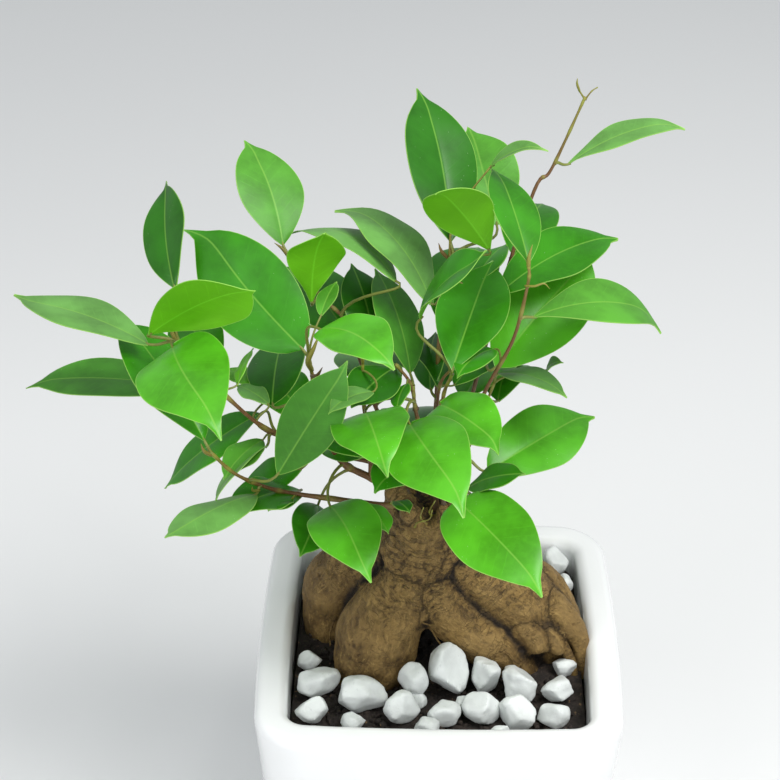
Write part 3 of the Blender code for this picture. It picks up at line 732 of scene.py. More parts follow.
def model_pot(size):
    """The pot, drawn up from its rounded base, inset at the rim and sunk to its floor."""
    deselect()
    bpy.ops.mesh.primitive_plane_add(size=size.base_width, location=(0, 0, 0))
    pot = bpy.context.object
    bpy.ops.object.mode_set(mode="EDIT")
    bpy.ops.mesh.select_all(action="SELECT")
    round_share = size.base_width / size.width
    bpy.ops.mesh.bevel(offset=size.corner * round_share, segments=10, affect="VERTICES")
    # Divide the four straight sides, and bow each outwards.
    pick(pot, "EDGE", lambda m: abs(abs(m.x) - abs(m.y)) > size.base_width * 0.45)
    bpy.ops.mesh.subdivide(number_cuts=5)
    straight = size.base_width - 2 * size.corner * round_share
    for i in (1, 2, 3):
        spot = straight / 2 * (1 - i / 3)
        pick(pot, "VERT", lambda m: abs(min(abs(m.x), abs(m.y)) - spot) < 0.001)
        share = 1 + size.bow * (1 - (spot / straight * 2) ** 2) / (size.base_width / 2)
        bpy.ops.transform.resize(value=(share, share, 1), center_override=(0, 0, 0))
    pick(pot, "FACE", lambda m: True)
    before = size.base_width
    levels = [i / 6 * size.height for i in range(1, 7)]
    for low, high in zip([0.0] + levels, levels):
        now = size.base_width + (size.width - size.base_width) * high / size.height
        extrude_to(high, high - low, now / before)
        before = now
    bpy.ops.mesh.inset(thickness=size.wall)
    inside = size.width - 2 * size.wall
    floor, rim = size.floor, size.height
    inner_taper = 8 * MM
    before, level = inside, rim
    for share in (0.25, 0.6, 1.0):
        lower = rim - (rim - floor) * share
        now = inside - inner_taper * share
        extrude_to(lower, lower - level, now / before)
        before, level = now, lower
    # Round the rim, the foot and the inside floor.
    pick(pot, "EDGE", lambda m: abs(m.z - rim) < 1e-4 and on_loop(pot, m, rim))
    bpy.ops.mesh.bevel(offset=size.rounding, segments=6, profile=0.5)
    for height, offset in ((0, 0.002), (floor, 0.004)):
        pick(pot, "EDGE", lambda m: abs(m.z - height) < 1e-4)
        bpy.ops.mesh.bevel(offset=offset, segments=3)
    close_shell()
    activate(pot)
    bpy.ops.object.shade_smooth_by_angle(angle=math.radians(38))
    return pot


def on_loop(pot, middle, rim):
    """Whether an edge's middle lies on the rim's outer or inner loop, not across the rim."""
    mesh = bmesh.from_edit_mesh(pot.data)
    for edge in mesh.edges:
        if ((edge.verts[0].co + edge.verts[1].co) / 2 - middle).length < 1e-6:
            heights = [abs(face.calc_center_median().z - rim) for face in edge.link_faces]
            return max(heights) > 1e-4
    return False


class FICUS_OT_pot(Operator):
    """Model the glazed pot"""

    bl_idname = "ficus.pot"
    bl_label = "Pot"

    def execute(self, context):
        size = context.scene.ficus_pot
        pot = model_pot(size)
        glaze = tuple(size.glaze)
        pot.data.materials.append(material_once("white_glaze", lambda: glaze_material(glaze)))
        finish_piece(pot, "glazed_pot", ["pot"])
        return {"FINISHED"}


# ---------------------------------------------------------------- soil and pebbles


def model_soil(half, low, high):
    """The soil: a fine grid with round corners, drawn down to a block, and crumbled on top."""
    deselect()
    bpy.ops.mesh.primitive_grid_add(
        x_subdivisions=72, y_subdivisions=72, size=2 * half, location=(0, 0, high)
    )
    soil = bpy.context.object
    bpy.ops.object.transform_apply(location=True, rotation=True, scale=True)
    bpy.ops.object.mode_set(mode="EDIT")
    bpy.ops.mesh.select_all(action="SELECT")
    bpy.ops.mesh.extrude_region_move(TRANSFORM_OT_translate={"value": (0, 0, low - high)})
    close_shell()
    corner = 0.009
    straight = half - corner
    taper = 1 - 0.0035 / half
    for vert in soil.data.vertices:
        x, y, z = vert.co
        cx = abs(x) - straight
        cy = abs(y) - straight
        reach = math.hypot(cx, cy)
        if reach > corner and cx > 0 and cy > 0:
            x = math.copysign(straight + cx / reach * corner, x)
            y = math.copysign(straight + cy / reach * corner, y)
        if z > (low + high) / 2:
            inside = max(abs(x), abs(y)) < half - 0.002
            lump = noise.noise(Vector((x, y, 0)) * 70) * 1.3
            lump += noise.noise(Vector((x, y, 4)) * 260) * 0.8
            z += (lump - 0.6) * MM if inside else -0.6 * MM
        else:
            x *= taper
            y *= taper
        vert.co = (x, y, z)
    soil.data.shade_smooth()
    return soil


def small_ball(scale, place, seed, squash=(1, 1, 1)):
    """Points and faces of a crumb: a coarse ball, jolted."""
    draw = random.Random(seed)
    phi = (1 + 5**0.5) / 2
    corners = [(-1, phi, 0), (1, phi, 0), (-1, -phi, 0), (1, -phi, 0), (0, -1, phi), (0, 1, phi)]
    corners += [(0, -1, -phi), (0, 1, -phi), (phi, 0, -1), (phi, 0, 1), (-phi, 0, -1), (-phi, 0, 1)]
    faces = [
        (0, 11, 5), (0, 5, 1), (0, 1, 7), (0, 7, 10), (0, 10, 11), (1, 5, 9), (5, 11, 4),
        (11, 10, 2), (10, 7, 6), (7, 1, 8), (3, 9, 4), (3, 4, 2), (3, 2, 6), (3, 6, 8),
        (3, 8, 9), (4, 9, 5), (2, 4, 11), (6, 2, 10), (8, 6, 7), (9, 8, 1),
    ]
    points = []
    turn = draw.random() * 6.28
    for c in corners:
        size = scale / 1.9 * (0.75 + draw.random() * 0.5)
        x, y, z = (c[k] * size * squash[k] for k in range(3))
        x, y = x * math.cos(turn) - y * math.sin(turn), x * math.sin(turn) + y * math.cos(turn)
        points.append((place[0] + x, place[1] + y, place[2] + z))
    return points, faces


def model_crumbs(half, level, count):
    """Loose crumbs and bits of bark on the soil, as one mesh."""
    draw = random.Random(7)
    points = []
    faces = []
    for i in range(count):
        x = draw.uniform(-half, half)
        y = draw.uniform(-half, half)
        scale = draw.uniform(0.4, 1.5) * MM * (1.5 if draw.random() < 0.12 else 1)
        squash = (1.8, 0.7, 0.6) if draw.random() < 0.2 else (1, 1, 0.8)
        p, f = small_ball(scale, (x, y, level + draw.uniform(-0.5, 0.3) * MM), i, squash)
        faces += [tuple(k + len(points) for k in face) for face in f]
        points += p
    return mesh_object("crumbs", points, faces)


class FICUS_OT_soil(Operator):
    """Model the soil and the loose crumbs on it"""

    bl_idname = "ficus.soil"
    bl_label = "Soil"

    def execute(self, context):
        size = context.scene.ficus_planting
        finish = material_once("dark_soil", lambda: soil_material(tuple(size.soil)))
        clearance, crumb_margin = 0.8 * MM, 5 * MM
        soil = model_soil(SOIL_HIGH.x - clearance, SOIL_LOW.z, SOIL_HIGH.z)
        soil.data.materials.append(finish)
        finish_piece(soil, "potting_soil", ["soil"])
        crumbs = model_crumbs(SOIL_HIGH.x - crumb_margin, SOIL_HIGH.z, size.crumbs)
        crumbs.data.materials.append(finish)
        finish_piece(crumbs, "soil_crumbs")
        return {"FINISHED"}


def model_pebble(middle, size, turn, seed):
    """A worn angular stone: a ball cut by a few planes, its edges rounded, fitted to its size."""
    draw = random.Random(seed)
    deselect()
    bpy.ops.mesh.primitive_ico_sphere_add(subdivisions=2, radius=1, location=(0, 0, 0))
    stone = bpy.context.object
    bpy.ops.object.mode_set(mode="EDIT")
    for _ in range(9):
        line = Vector((draw.gauss(0, 1), draw.gauss(0, 1), draw.gauss(0, 0.8))).normalized()
        cut_off(line * draw.uniform(0.5, 0.78), line)
    bpy.ops.mesh.select_all(action="SELECT")
    bpy.ops.mesh.remove_doubles(threshold=0.04)
    close_shell()
    # Even out the mesh, wear its edges and round it off.
    add_modifier(stone, "REMESH", mode="VOXEL", voxel_size=0.11)
    add_modifier(stone, "SMOOTH", factor=0.6, iterations=3)
    add_modifier(stone, "SUBSURF", levels=1, render_levels=1)
    apply_all(stone)
    points = vertex_values(stone.data, "co")
    c, s = math.cos(math.radians(turn)), math.sin(math.radians(turn))
    points = points @ np.array([[c, s, 0], [-s, c, 0], [0, 0, 1]])
    low, high = points.min(0), points.max(0)
    points = (points - (low + high) / 2) / (high - low)
    dents = [noise.noise(Vector(p) * 4 + Vector((seed * 3.1, 0, 0))) for p in points]
    points *= (1 + 0.05 * np.array(dents))[:, None]
    points = points * np.array(size) + np.array(middle)
    stone.data.vertices.foreach_set("co", points.ravel())
    stone.data.update()
    stone.data.shade_smooth()
    return stone


class FICUS_OT_pebbles(Operator):
    """Model the white pebbles on the soil"""

    bl_idname = "ficus.pebbles"
    bl_label = "Pebbles"

    def execute(self, context):
        size = context.scene.ficus_planting
        finish = material_once("white_stone", lambda: stone_material(tuple(size.stone)))
        names = [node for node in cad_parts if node.startswith("pebble_")]
        names.sort(key=lambda node: int(node.removeprefix("pebble_")))
        for number, node in enumerate(names, 1):
            low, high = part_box(node)
            stone = model_pebble((low + high) / 2, high - low, number * 40, number)
            stone.data.materials.append(finish)
            finish_piece(stone, f"white_pebble_{number}", [node])
        for number, (x, y, wide, turn) in enumerate(EXTRA_PEBBLES, 1):
            tall = wide * (0.75 + 0.1 * (number % 3))
            middle = (x * MM, y * MM, (SOIL_TOP - 0.8 + tall / 2) * MM)
            measure = (wide * MM, wide * 0.85 * MM, tall * MM)
            stone = model_pebble(middle, measure, turn, 50 + number)
            stone.data.materials.append(finish)
            finish_piece(stone, f"small_pebble_{number}")
        return {"FINISHED"}


# ---------------------------------------------------------------- trunk and roots


def root_lie(points):
    """For each point: how far round and how far along the nearest root it lies, in mm."""
    best = np.full(len(points), np.inf)
    lie = np.zeros((len(points), 3))
    offset = 0.0
    for root in ROOTS.values():
        path = smooth_path(root)
        centres = above_soil(path[:, :3])
        steps = np.linalg.norm(np.diff(centres, axis=0), axis=1)
        length = np.concatenate([[0], np.cumsum(steps)])
        lines = np.gradient(centres, axis=0)
        lines /= np.linalg.norm(lines, axis=1)[:, None]
        gap = np.linalg.norm(points[:, None, :] - centres[None, :, :], axis=2)
        nearest = gap.argmin(1)
        out = gap[np.arange(len(points)), nearest] / (path[nearest, 3] * MM)
        take = out < best
        line = lines[nearest]
        across = np.cross(line, (0.2, 0.97, 0.1))
        across /= np.linalg.norm(across, axis=1)[:, None]
        other = np.cross(line, across)
        away = points - centres[nearest]
        angle = np.arctan2((away * other).sum(1), (away * across).sum(1))
        along = length[nearest] + (away * line).sum(1)
        radius = path[nearest, 3]
        values = np.stack([angle * radius, along / MM + offset, np.full(len(points), offset)], 1)
        lie[take] = values[take]
        best[take] = out[take]
        offset += PATTERN_GAP
    return lie


def ridged(place, seed):
    """Noise with sharp crests, from 0 to 1."""
    return 1 - abs(noise.noise(place + Vector((seed, seed * 2.3, 0))))


def relief(place, lie):
    """How far the bark stands out or sinks at a place, in mm."""
    spot = Vector(place) / MM
    lumps = noise.noise(spot / 16) * 1.2 + noise.noise(spot / 7) * 0.55
    bend = Vector((noise.noise(spot / 9), noise.noise(spot / 9 + Vector((5, 5, 5))), 0)) * 5
    way = Vector((lie[0], lie[1], lie[2])) + bend
    fibre = ridged(Vector((way.x / 3.2, way.y / 11, way.z)), 1.7) ** 2 * 0.4
    ring = ridged(Vector((way.x / 8, way.y / 2.6, way.z)), 5.1) ** 5
    oblique = ridged(Vector(((way.x + way.y) / 3.6, (way.x - way.y) / 9, way.z)), 8.3) ** 6
    neck = min(max((spot.z - SOIL_TOP - 34) / 12, 0), 1)
    patch = max(0.0, noise.noise(spot / 12 + Vector((9, 0, 0))) + 0.3)
    pits = min(0.0, noise.noise(spot / 2.4) + 0.5) * 1.8
    fine = noise.noise(spot / 1.3) * 0.1
    cuts = ring * patch * (0.35 + 0.35 * neck) + oblique * (0.2 + 0.6 * neck) * (patch + 0.3)
    return lumps + fibre * (0.6 + 0.6 * neck) - cuts + pits + fine - 0.2


def model_trunk(voxel):
    """The trunk: tubes along each root grown together, then wrinkled like bark."""
    deselect()
    tubes = []
    for name, root in ROOTS.items():
        path = smooth_path(root, 5)
        centres = above_soil(path[:, :3])
        points, faces = tube(centres, path[:, 3] * MM, 24)
        tubes.append(mesh_object(name, points, faces))
    deselect()
    for part in tubes:
        part.select_set(True)
    bpy.context.view_layer.objects.active = tubes[0]
    bpy.ops.object.join()
    trunk = bpy.context.object
    # Grow the tubes together coarsely, then once more with finer points for the bark.
    for size, rounds in ((max(voxel, 0.0011), 4), (voxel, 2)):
        add_modifier(trunk, "REMESH", mode="VOXEL", voxel_size=size)
        add_modifier(trunk, "SMOOTH", factor=0.5, iterations=rounds)
    apply_all(trunk)
    bpy.ops.object.mode_set(mode="EDIT")
    sunk = 4 * MM
    cut_off((0, 0, SOIL_HIGH.z - sunk), (0, 0, -1))
    bpy.ops.object.mode_set(mode="OBJECT")
    mesh = trunk.data
    points = vertex_values(mesh, "co")
    lie = root_lie(points)
    high = np.array([relief(p, q) for p, q in zip(points, lie)])
    # The bark is calmer above the trunk's top, where the collars taper into the twigs.
    fade = 6 * MM
    calm = np.clip((TRUNK_TOP + fade - points[:, 2]) / fade, 0.25, 1)
    moved = points + vertex_values(mesh, "normal") * (high * calm * MM)[:, None]
    mesh.vertices.foreach_set("co", moved.ravel())
    mesh.update()
    write_attribute(trunk, "lie", lie, "FLOAT_VECTOR")
    # This depth places the bark's painted shade and painted highlight.
    write_attribute(trunk, "shade_and_highlight", shade_and_highlight_depths(mesh, moved))
    mesh.shade_smooth()
    return trunk


def shade_and_highlight_depths(mesh, points):
    """How deep each vertex sits below its wider surroundings, from -1 on the crests to 1 in the
    creases and near the soil: where the bark's painted highlight and painted shade go.
    """
    edges = np.zeros(len(mesh.edges) * 2, int)
    mesh.edges.foreach_get("vertices", edges)
    edges = edges.reshape(-1, 2)
    count = np.bincount(edges.ravel(), minlength=len(points))[:, None]
    wide = points.copy()
    for _ in range(14):
        total = np.zeros_like(wide)
        np.add.at(total, edges[:, 0], wide[edges[:, 1]])
        np.add.at(total, edges[:, 1], wide[edges[:, 0]])
        wide = total / np.maximum(count, 1)
    depth = ((wide - points) * vertex_values(mesh, "normal")).sum(1) / MM
    # Painted shade where the roots meet the soil, added to the crease depth.
    soil_shade = np.clip((SOIL_HIGH.z + 4 * MM - points[:, 2]) / (6 * MM), 0, 1) * 0.6
    return np.clip(np.clip(depth * 1.3, -1, 0.85) + soil_shade, -1, 1)


def bark_finish(size):
    """The bark's material in the chosen colours."""
    light, dark = tuple(size.bark_light), tuple(size.bark_dark)
    return material_once("root_bark", lambda: bark_material(light, dark))


class FICUS_OT_trunk(Operator):
    """Grow the trunk with its fat roots"""

    bl_idname = "ficus.trunk"
    bl_label = "Trunk"

    def execute(self, context):
        size = context.scene.ficus_plant
        voxel = size.bark_detail * 1
        trunk = model_trunk(voxel)
        trunk.data.materials.append(bark_finish(size))
        finish_piece(trunk, "root_trunk", ["trunk"])
        return {"FINISHED"}


class FICUS_OT_hair_roots(Operator):
    """Add the thin roots that hang from the fat ones"""

    bl_idname = "ficus.hair_roots"
    bl_label = "Hair roots"

    def execute(self, context):
        finish = bark_finish(context.scene.ficus_plant)
        sides = 8
        for number, (points, thick, thin) in enumerate(HAIR_ROOTS, 1):
            path = above_soil(smooth_path(points))
            share = np.linspace(0, 1, len(path))
            radii = (thick + (thin - thick) * share) * MM
            radii *= 1 + 0.12 * np.array([noise.noise(Vector(p) * 400) for p in path])
            obj = mesh_object("hair", *tube(path, radii, sides))
            rings = np.repeat(share * 40, sides)
            turn = np.tile(np.arange(sides) / sides * 6, len(path))
            lie = np.stack([turn, rings, turn * 0 + number * 9], 1)
            write_attribute(obj, "lie", lie, "FLOAT_VECTOR")
            write_attribute(obj, "shade_and_highlight", rings * 0)
            obj.data.materials.append(finish)
            finish_piece(obj, f"hair_root_{number}")
        return {"FINISHED"}


# ---------------------------------------------------------------- twigs


def twig_line(points):
    """A twig's centre line in metres, from just inside the trunk's top."""
    path = smooth_path(points)
    foot = np.array([path[0][0], path[0][1], -1.0])
    return above_graft(np.vstack([foot, path]))


def model_twig(name, path, thick, thin, green, joints):
    """A twig with a swollen ring at each joint, where leaves grow."""
    share = np.linspace(0, 1, len(path))
    fine = np.linspace(0, 1, len(path) * 3)
    line = np.stack([np.interp(fine, share, path[:, k]) for k in range(3)], 1)
    radii = thick + (thin - thick) * fine
    ring = np.zeros(len(fine))
    for joint in joints:
        ring = np.maximum(ring, np.exp(-(((fine - joint) * len(path) * 1.1) ** 2)))
    wobble = np.array([noise.noise(Vector(p) * 220) for p in line])
    flare = 1 + 0.8 * np.exp(-((fine / 0.08) ** 2))
    radii = TWIG_SLIMNESS * radii * flare * (1 + 0.32 * ring + 0.1 * wobble) * MM
    sides = 12
    obj = mesh_object(name, *tube(line, radii, sides))
    age = np.clip(fine * (1 - green) + green, 0, 1)
    write_attribute(obj, "age", np.repeat(age, sides))
    write_attribute(obj, "joint", np.repeat(ring**2 * np.clip(age + 0.1, 0, 1), sides))
    obj.data.materials.append(material_once("twig_bark", twig_material))
    return obj


def stems():
    """Every twig and shoot: name, whether the frame has it, line, radii at its ends, how green."""
    for name, (thick, thin, points) in TWIGS.items():
        yield name, True, twig_line(points), thick, thin, 0.0
    for name, (thick, thin, points, green) in SHOOTS.items():
        yield name, False, above_graft(smooth_path(points)), thick, thin, green


class FICUS_OT_twigs(Operator):
    """Grow the twigs, the side shoots and the buds"""

    bl_idname = "ficus.twigs"
    bl_label = "Twigs"

    def execute(self, context):
        for name, framed, path, thick, thin, green in stems():
            joints = TWIG_JOINTS if framed else SHOOT_JOINTS
            obj = model_twig(name, path, thick, thin, green, joints)
            if framed:
                finish_piece(obj, f"bark_{name}", [f"twig_{name}"])
            else:
                finish_piece(obj, f"shoot_{name}")
        sides = 10
        for number, (points, thick, green) in enumerate(BUDS, 1):
            path = above_graft(smooth_path(points))
            share = np.linspace(0, 1, len(path))
            radii = thick * (1 - share) ** 0.7 * (0.55 + 0.9 * share * (1 - share) * 2) + 0.08
            obj = mesh_object("bud", *tube(path, radii * MM, sides))
            write_attribute(obj, "age", np.full(len(path) * sides, green))
            write_attribute(obj, "joint", np.full(len(path) * sides, 0.5 * green))
            obj.data.materials.append(material_once("twig_bark", twig_material))
            finish_piece(obj, f"bud_{number}")
        return {"FINISHED"}


# ---------------------------------------------------------------- leaves


def half_width(t):
    """Half the blade's width at a share of its length, as a share of the full width."""
    body = 0.5 * math.sin(math.pi * t / 0.935) ** 0.68 if t < 0.935 else 0.0
    tongue = (0.04 + 0.13 * (1 - t)) * min(max((t - 0.6) / 0.25, 0), 1)
    if t > 0.975:
        tongue *= math.sqrt(max(1 - ((t - 0.975) / 0.025) ** 2, 0))
    return max((body**2.2 + tongue**2.2) ** (1 / 2.2), 0.012)


def blade_pattern():
    """The flat blade's points (across, along, thickness) and faces."""
    deselect()
    bpy.ops.mesh.primitive_grid_add(
        x_subdivisions=len(COLUMNS) - 1, y_subdivisions=ROWS, size=2, location=(0, 0, 0)
    )
    blade = bpy.context.object
    bpy.ops.object.mode_set(mode="EDIT")
    mesh = bmesh.from_edit_mesh(blade.data)
    across = sorted({round(v.co.x, 4) for v in mesh.verts})
    rows = sorted({round(v.co.y, 4) for v in mesh.verts})
    # Move the columns out from the middle, from the outer ones inwards, so none is met twice.
    middle = len(across) // 2
    order = sorted(range(len(across)), key=lambda i: -abs(i - middle))
    for i in order:
        pick(blade, "VERT", lambda m: abs(m.x - across[i]) < 1e-3)
        bpy.ops.transform.translate(value=(COLUMNS[i] - across[i], 0, 0))
    for row in rows:
        pick(blade, "VERT", lambda m: abs(m.y - row) < 1e-3)
        share = half_width((row + 1) / 2) * 2
        bpy.ops.transform.resize(value=(share, 1, 1), center_override=(0, row, 0))
    bpy.ops.object.mode_set(mode="OBJECT")
    add_modifier(blade, "SOLIDIFY", thickness=0.02, offset=0)
    apply_all(blade)
    points = vertex_values(blade.data, "co")
    faces = [tuple(f.vertices) for f in blade.data.polygons]
    bpy.data.objects.remove(blade)
    return points, faces


def leaf_axes(heading, pitch, roll):
    """The directions along a leaf, to its side and out of its upper face."""
    h, p, r = (math.radians(angle) for angle in (heading, pitch, roll))
    along = Vector((math.cos(p) * math.cos(h), math.cos(p) * math.sin(h), math.sin(p)))
    level = Vector((-math.sin(p) * math.cos(h), -math.sin(p) * math.sin(h), math.cos(p)))
    normal = level * math.cos(r) + along.cross(level) * math.sin(r)
    return np.array(along), np.array(normal.cross(along)), np.array(normal)


def nearest_stem(lines, foot, twig):
    """The nearest point on the leaf's own twig, or on any twig or shoot."""
    best = None
    for name, path in lines:
        if twig and name != twig:
            continue
        gaps = np.linalg.norm(path - foot, axis=1)
        i = gaps.argmin()
        if best is None or gaps[i] < best[0]:
            line = path[min(i + 1, len(path) - 1)] - path[max(i - 1, 0)]
            best = (gaps[i], path[i], line / np.linalg.norm(line))
    return best


def lay_blade(pattern, foot, axes, length, width, bow, fold, curl, sway, widest, hook, base,
              seed, thickness):
    """Lay the flat blade along its own curve: bowed, folded along the midrib, waved, curled."""
    along, side, normal = axes
    draw = random.Random(seed)
    wave = draw.uniform(0.25, 0.8) * MM * width / 0.024
    phase = draw.uniform(0, 6.28)
    turns = draw.uniform(1.3, 2.3)
    twist = draw.uniform(-0.25, 0.25)
    t = (pattern[:, 1] + 1) / 2
    # Stretch the outline along the leaf, so that its widest row falls where asked.
    real = t ** (math.log(widest) / math.log(0.47))
    half = np.array([half_width(v) for v in t]) * width
    early = np.clip(1 - t / 0.45, 0, 1)
    share = np.clip(np.sin(math.pi * np.clip(t / 0.9, 0.004, 0.5)), 0, 1) ** -(0.3 * base)
    full = np.where(early > 0, share, 1.0)
    across = pattern[:, 0] * width / 2 * full
    half = half * full
    reach = np.clip(np.abs(across) / np.maximum(half, 1e-6), 0, 1)
    late = np.clip((real - 0.72) / 0.28, 0, 1)
    last = np.clip((real - 0.84) / 0.16, 0, 1)
    lift = bow * 4 * real * (1 - real) - curl * late**2
    slope = bow * 4 * (1 - 2 * real) / length - 2 * curl * late / 0.28 / length
    drift = sway * np.sin(math.pi * real) * 0.6 + sway * late**2 * 0.8 + hook * last**1.6
    line = along[None, :] + normal[None, :] * slope[:, None]
    line /= np.linalg.norm(line, axis=1)[:, None]
    up = np.cross(line, side[None, :])
    turn = twist * (real - 0.3)
    aside = side[None, :] * np.cos(turn)[:, None] + up * np.sin(turn)[:, None]
    up = np.cross(line, aside)
    along_wave = 2 * math.pi * turns * real + phase + (pattern[:, 0] > 0) * 1.7
    ripple = wave * np.sin(along_wave) * reach**2
    sink = 0.22 * MM * np.exp(-((across / (0.55 * MM)) ** 2)) * (1 - real)
    rise = fold * np.abs(across) * (1 - 0.25 * reach) + ripple - sink
    rise = rise - 0.03 * np.abs(across) * reach**3
    thin = 1 - 0.45 * reach
    thick = np.sign(pattern[:, 2]) * thickness / 2 * thin
    points = (
        foot[None, :]
        + along[None, :] * (length * real)[:, None]
        + normal[None, :] * lift[:, None]
        + aside * (across + drift)[:, None]
        + up * (rise + thick)[:, None]
    )
    margin = (1 - reach) * half / MM
    margin = np.minimum(margin, (1 - real) * length / MM + 0.1)
    lay = np.stack([across / MM, real * length / MM, margin], 1)
    return points, lay, (pattern[:, 2] < 0).astype(float)


def model_leaf(pattern, faces, lines, seed, thickness, twig, foot, heading, pitch, roll, length,
               width, bow, fold, tone, curl=0, sway=0, widest=0.5, hook=0, base=0):
    """A leaf: its blade and its stalk, which bends from the twig into the blade."""
    foot = above_graft(foot)
    axes = leaf_axes(heading, pitch, roll)
    blade, lay, below = lay_blade(
        pattern, foot, axes, length * MM, width * MM, bow * MM, fold, curl * MM, sway * MM,
        widest, hook * MM, base, seed, thickness,
    )
    gap, start, line = nearest_stem(lines, foot, twig)
    reach = gap * 0.45
    direct = (foot - start) / max(gap, 1e-6)
    leave = direct * 0.7 + line * 0.5
    leave /= np.linalg.norm(leave)
    ends = [start, start + leave * reach, foot - axes[0] * reach, foot + axes[0] * 0.0015]
    t = np.linspace(0, 1, 10)[:, None]
    path = ends[0] * (1 - t) ** 3 + ends[1] * 3 * t * (1 - t) ** 2
    path = path + ends[2] * 3 * t**2 * (1 - t) + ends[3] * t**3
    thick = 0.52 if length > 25 else 0.38
    radii = np.linspace(thick * 1.15, thick * 0.85, 10) * MM
    radii[0] *= 1.3
    stalk, stalk_faces = tube(path, radii, 8)
    all_faces = list(faces) + [tuple(k + len(blade) for k in face) for face in stalk_faces]
    obj = mesh_object("leaf", np.vstack([blade, stalk]), all_faces, 50)
    extra = len(stalk)
    lay = np.vstack([lay, np.tile((3.0, 5.0, 5.0), (extra, 1))])
    write_attribute(obj, "lay", lay, "FLOAT_VECTOR")
    write_attribute(obj, "below", np.concatenate([below, np.zeros(extra)]))
    finish = material_once(f"leaf_{tone}", lambda: leaf_material(tone, *TONES[tone]))
    obj.data.materials.append(finish)
    obj.data.materials.append(material_once("leaf_stalk", stalk_material))
    index = np.zeros(len(all_faces), int)
    index[len(faces):] = 1
    obj.data.polygons.foreach_set("material_index", index)
    return obj


class FICUS_OT_leaves(Operator):
    """Grow the leaves on the twigs"""

    bl_idname = "ficus.leaves"
    bl_label = "Leaves"

    def execute(self, context):
        thickness = context.scene.ficus_plant.leaf_thickness
        pattern, faces = blade_pattern()
        lines = [(name, path) for name, _, path, *_ in stems()]
        counts = {}
        for seed, row in enumerate(LEAVES):
            twig = row[0]
            counts[twig] = counts.get(twig, 0) + 1
            obj = model_leaf(pattern, faces, lines, seed, thickness, *row)
            name = f"{twig}_{counts[twig]}"
            finish_piece(obj, f"blade_{name}", [f"leaf_{name}"])
        for number, row in enumerate(SMALL_LEAVES, 1):
            obj = model_leaf(pattern, faces, lines, 100 + number, thickness, None, *row)
            finish_piece(obj, f"small_blade_{number}")
        return {"FINISHED"}


# ---------------------------------------------------------------- stage


def area_light(name, place, aim, size, energy, colour=(1, 1, 1)):
    """A round, soft lamp that faces a point."""
    light = bpy.data.lights.new(name, "AREA")
    light.shape = "DISK"
    light.size = size
    light.energy = energy
    light.color = colour
    lamp = bpy.data.objects.new(name, light)
    lamp.location = place
    lamp.rotation_euler = (Vector(aim) - Vector(place)).to_track_quat("-Z", "Y").to_euler()
    bpy.context.scene.collection.objects.link(lamp)


class FICUS_OT_stage(Operator):
    """Add the pale floor, the soft studio light and the camera"""

    bl_idname = "ficus.stage"
    bl_label = "Stage"

    def execute(self, context):
        size = context.scene.ficus_stage
        deselect()
        bpy.ops.mesh.primitive_plane_add(size=size.floor_width, location=(0, 0, 0))
        floor = bpy.context.object
        floor.name = "floor"
        made, tree, sockets = new_material("pale_floor", 0.7)
        cloud = grain(tree, object_place(tree), 3.0, 2.0)
        colour = tuple(size.floor_colour)
        shade = tuple(c * 0.97 for c in colour)
        tree.links.new(blend(tree, cloud, shade, colour), sockets["Base Color"])
        floor.data.materials.append(made)
        world = bpy.data.worlds.new("studio")
        world.use_nodes = True
        ground = world.node_tree.nodes["Background"]
        ground.inputs["Color"].default_value = (0.93, 0.97, 1.0, 1)
        ground.inputs["Strength"].default_value = size.fill
        context.scene.world = world
        area_light("key", (0.45, -0.3, 1.1), (0, 0, 0.18), 0.6, size.key, (1, 0.99, 0.97))
        area_light("side", (-0.8, -0.7, 0.9), (0, 0, 0.15), 0.9, size.key * 0.5)
        area_light("front", (0.2, -1.1, 0.5), (0, 0, 0.12), 0.6, size.key * 0.26)
        camera = bpy.data.cameras.new("camera")
        camera.lens = CAMERA_LENS
        camera.sensor_width = CAMERA_SENSOR
        camera.dof.use_dof = False
        holder = bpy.data.objects.new("camera", camera)
        holder.location = CAMERA_PLACE
        holder.rotation_euler = (math.radians(90 - CAMERA_DOWN), 0, math.radians(CAMERA_ROUND))
        context.scene.collection.objects.link(holder)
        context.scene.camera = holder
        context.scene.view_settings.view_transform = "Standard"
        return {"FINISHED"}


# ---------------------------------------------------------------- settings and panel


class FICUS_PG_pot(PropertyGroup):
    width: FloatProperty(name="Width", description="Width at the rim", default=0.13, unit="LENGTH")
    base_width: FloatProperty(
        name="Base width", description="Width at the base", default=0.114, unit="LENGTH"
    )
    height: FloatProperty(
        name="Height", description="Height of the pot", default=POT_TOP, unit="LENGTH"
    )
    wall: FloatProperty(name="Rim", description="Width of the rim", default=0.012, unit="LENGTH")
    floor: FloatProperty(
        name="Floor", description="Thickness of the floor", default=0.012, unit="LENGTH"
    )
    corner: FloatProperty(
        name="Corner", description="Radius of the corners", default=0.019, unit="LENGTH"
    )
    bow: FloatProperty(
        name="Bow", description="How far each side bows out", default=0.001, unit="LENGTH"
    )
    rounding: FloatProperty(
        name="Rounding", description="Rounding of the rim", default=0.004, unit="LENGTH"
    )
    glaze: FloatVectorProperty(
        name="Glaze", description="Colour of the glaze",
        default=(0.81, 0.82, 0.825), subtype="COLOR"
    )


class FICUS_PG_planting(PropertyGroup):
    crumbs: IntProperty(name="Crumbs", description="Loose crumbs on the soil", default=700)
    soil: FloatVectorProperty(
        name="Soil", description="Colour of the soil", default=(0.014, 0.01, 0.008), subtype="COLOR"
    )
    stone: FloatVectorProperty(
        name="Pebbles", description="Colour of the pebbles",
        default=(0.68, 0.71, 0.7), subtype="COLOR"
    )


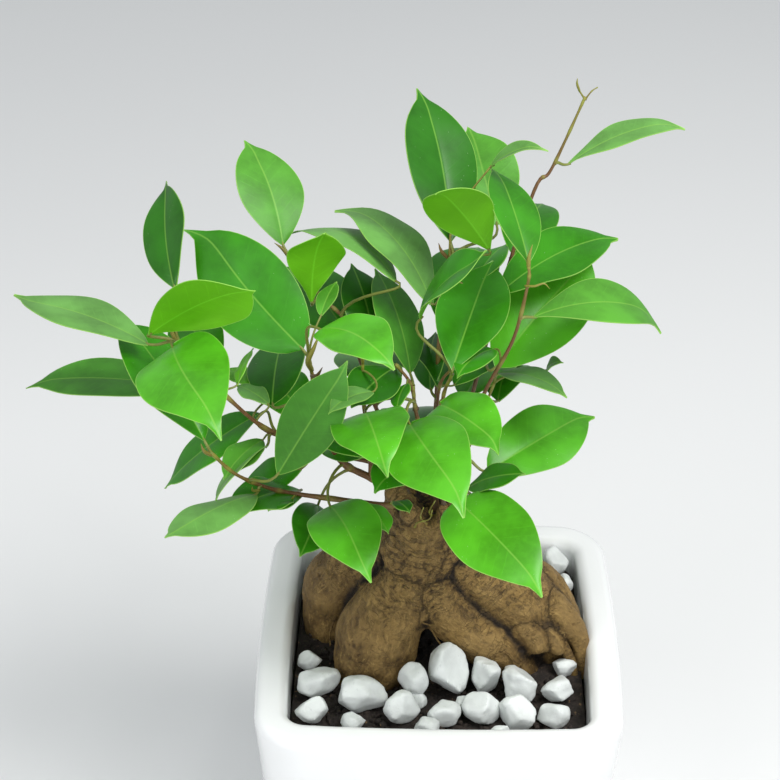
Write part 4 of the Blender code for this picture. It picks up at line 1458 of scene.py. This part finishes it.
class FICUS_PG_plant(PropertyGroup):
    bark_detail: FloatProperty(
        name="Bark detail", description="Spacing of the trunk's surface points",
        default=0.0009, unit="LENGTH"
    )
    bark_light: FloatVectorProperty(
        name="Light bark", description="Colour of the bark's crests",
        default=(0.23, 0.142, 0.042), subtype="COLOR"
    )
    bark_dark: FloatVectorProperty(
        name="Dark bark", description="Colour of the bark's grooves",
        default=(0.115, 0.067, 0.02), subtype="COLOR"
    )
    leaf_thickness: FloatProperty(
        name="Leaf thickness", description="Thickness of a blade", default=0.00045, unit="LENGTH"
    )


class FICUS_PG_stage(PropertyGroup):
    floor_width: FloatProperty(
        name="Floor", description="Width of the floor", default=8.0, unit="LENGTH"
    )
    floor_colour: FloatVectorProperty(
        name="Floor colour", description="Colour of the floor",
        default=(0.79, 0.795, 0.795), subtype="COLOR"
    )
    key: FloatProperty(
        name="Key", description="Strength of the key light", default=11, unit="POWER"
    )
    fill: FloatProperty(name="Fill", description="Strength of the light all round", default=0.5)


BUILDERS = (
    FICUS_OT_stage,
    FICUS_OT_pot,
    FICUS_OT_soil,
    FICUS_OT_pebbles,
    FICUS_OT_trunk,
    FICUS_OT_hair_roots,
    FICUS_OT_twigs,
    FICUS_OT_leaves,
)
GROUPS = {
    "ficus_pot": FICUS_PG_pot,
    "ficus_planting": FICUS_PG_planting,
    "ficus_plant": FICUS_PG_plant,
    "ficus_stage": FICUS_PG_stage,
}


class FICUS_PT_panel(Panel):
    """Buttons and sizes for the potted ficus"""

    bl_idname = "FICUS_PT_panel"
    bl_label = "Potted Ficus"
    bl_space_type = "VIEW_3D"
    bl_region_type = "UI"
    bl_category = "Ficus"

    def draw(self, context):
        for group, kind in GROUPS.items():
            box = self.layout.box()
            for name in kind.__annotations__:
                box.prop(getattr(context.scene, group), name)
        for builder in BUILDERS:
            self.layout.operator(builder.bl_idname)


def register():
    """Register the classes and hang the settings on the scene."""
    for kind in (*GROUPS.values(), *BUILDERS, FICUS_PT_panel):
        bpy.utils.register_class(kind)
    for group, kind in GROUPS.items():
        setattr(bpy.types.Scene, group, PointerProperty(type=kind))


def unregister():
    """Take the settings and the classes away again."""
    for group in GROUPS:
        delattr(bpy.types.Scene, group)
    for kind in (FICUS_PT_panel, *reversed(BUILDERS), *reversed(GROUPS.values())):
        bpy.utils.unregister_class(kind)


def main():
    """Model everything in order."""
    register()
    bpy.ops.ficus.stage()
    bpy.ops.ficus.pot()
    bpy.ops.ficus.soil()
    bpy.ops.ficus.pebbles()
    bpy.ops.ficus.trunk()
    bpy.ops.ficus.hair_roots()
    bpy.ops.ficus.twigs()
    bpy.ops.ficus.leaves()


if __name__ == "__main__":
    main()
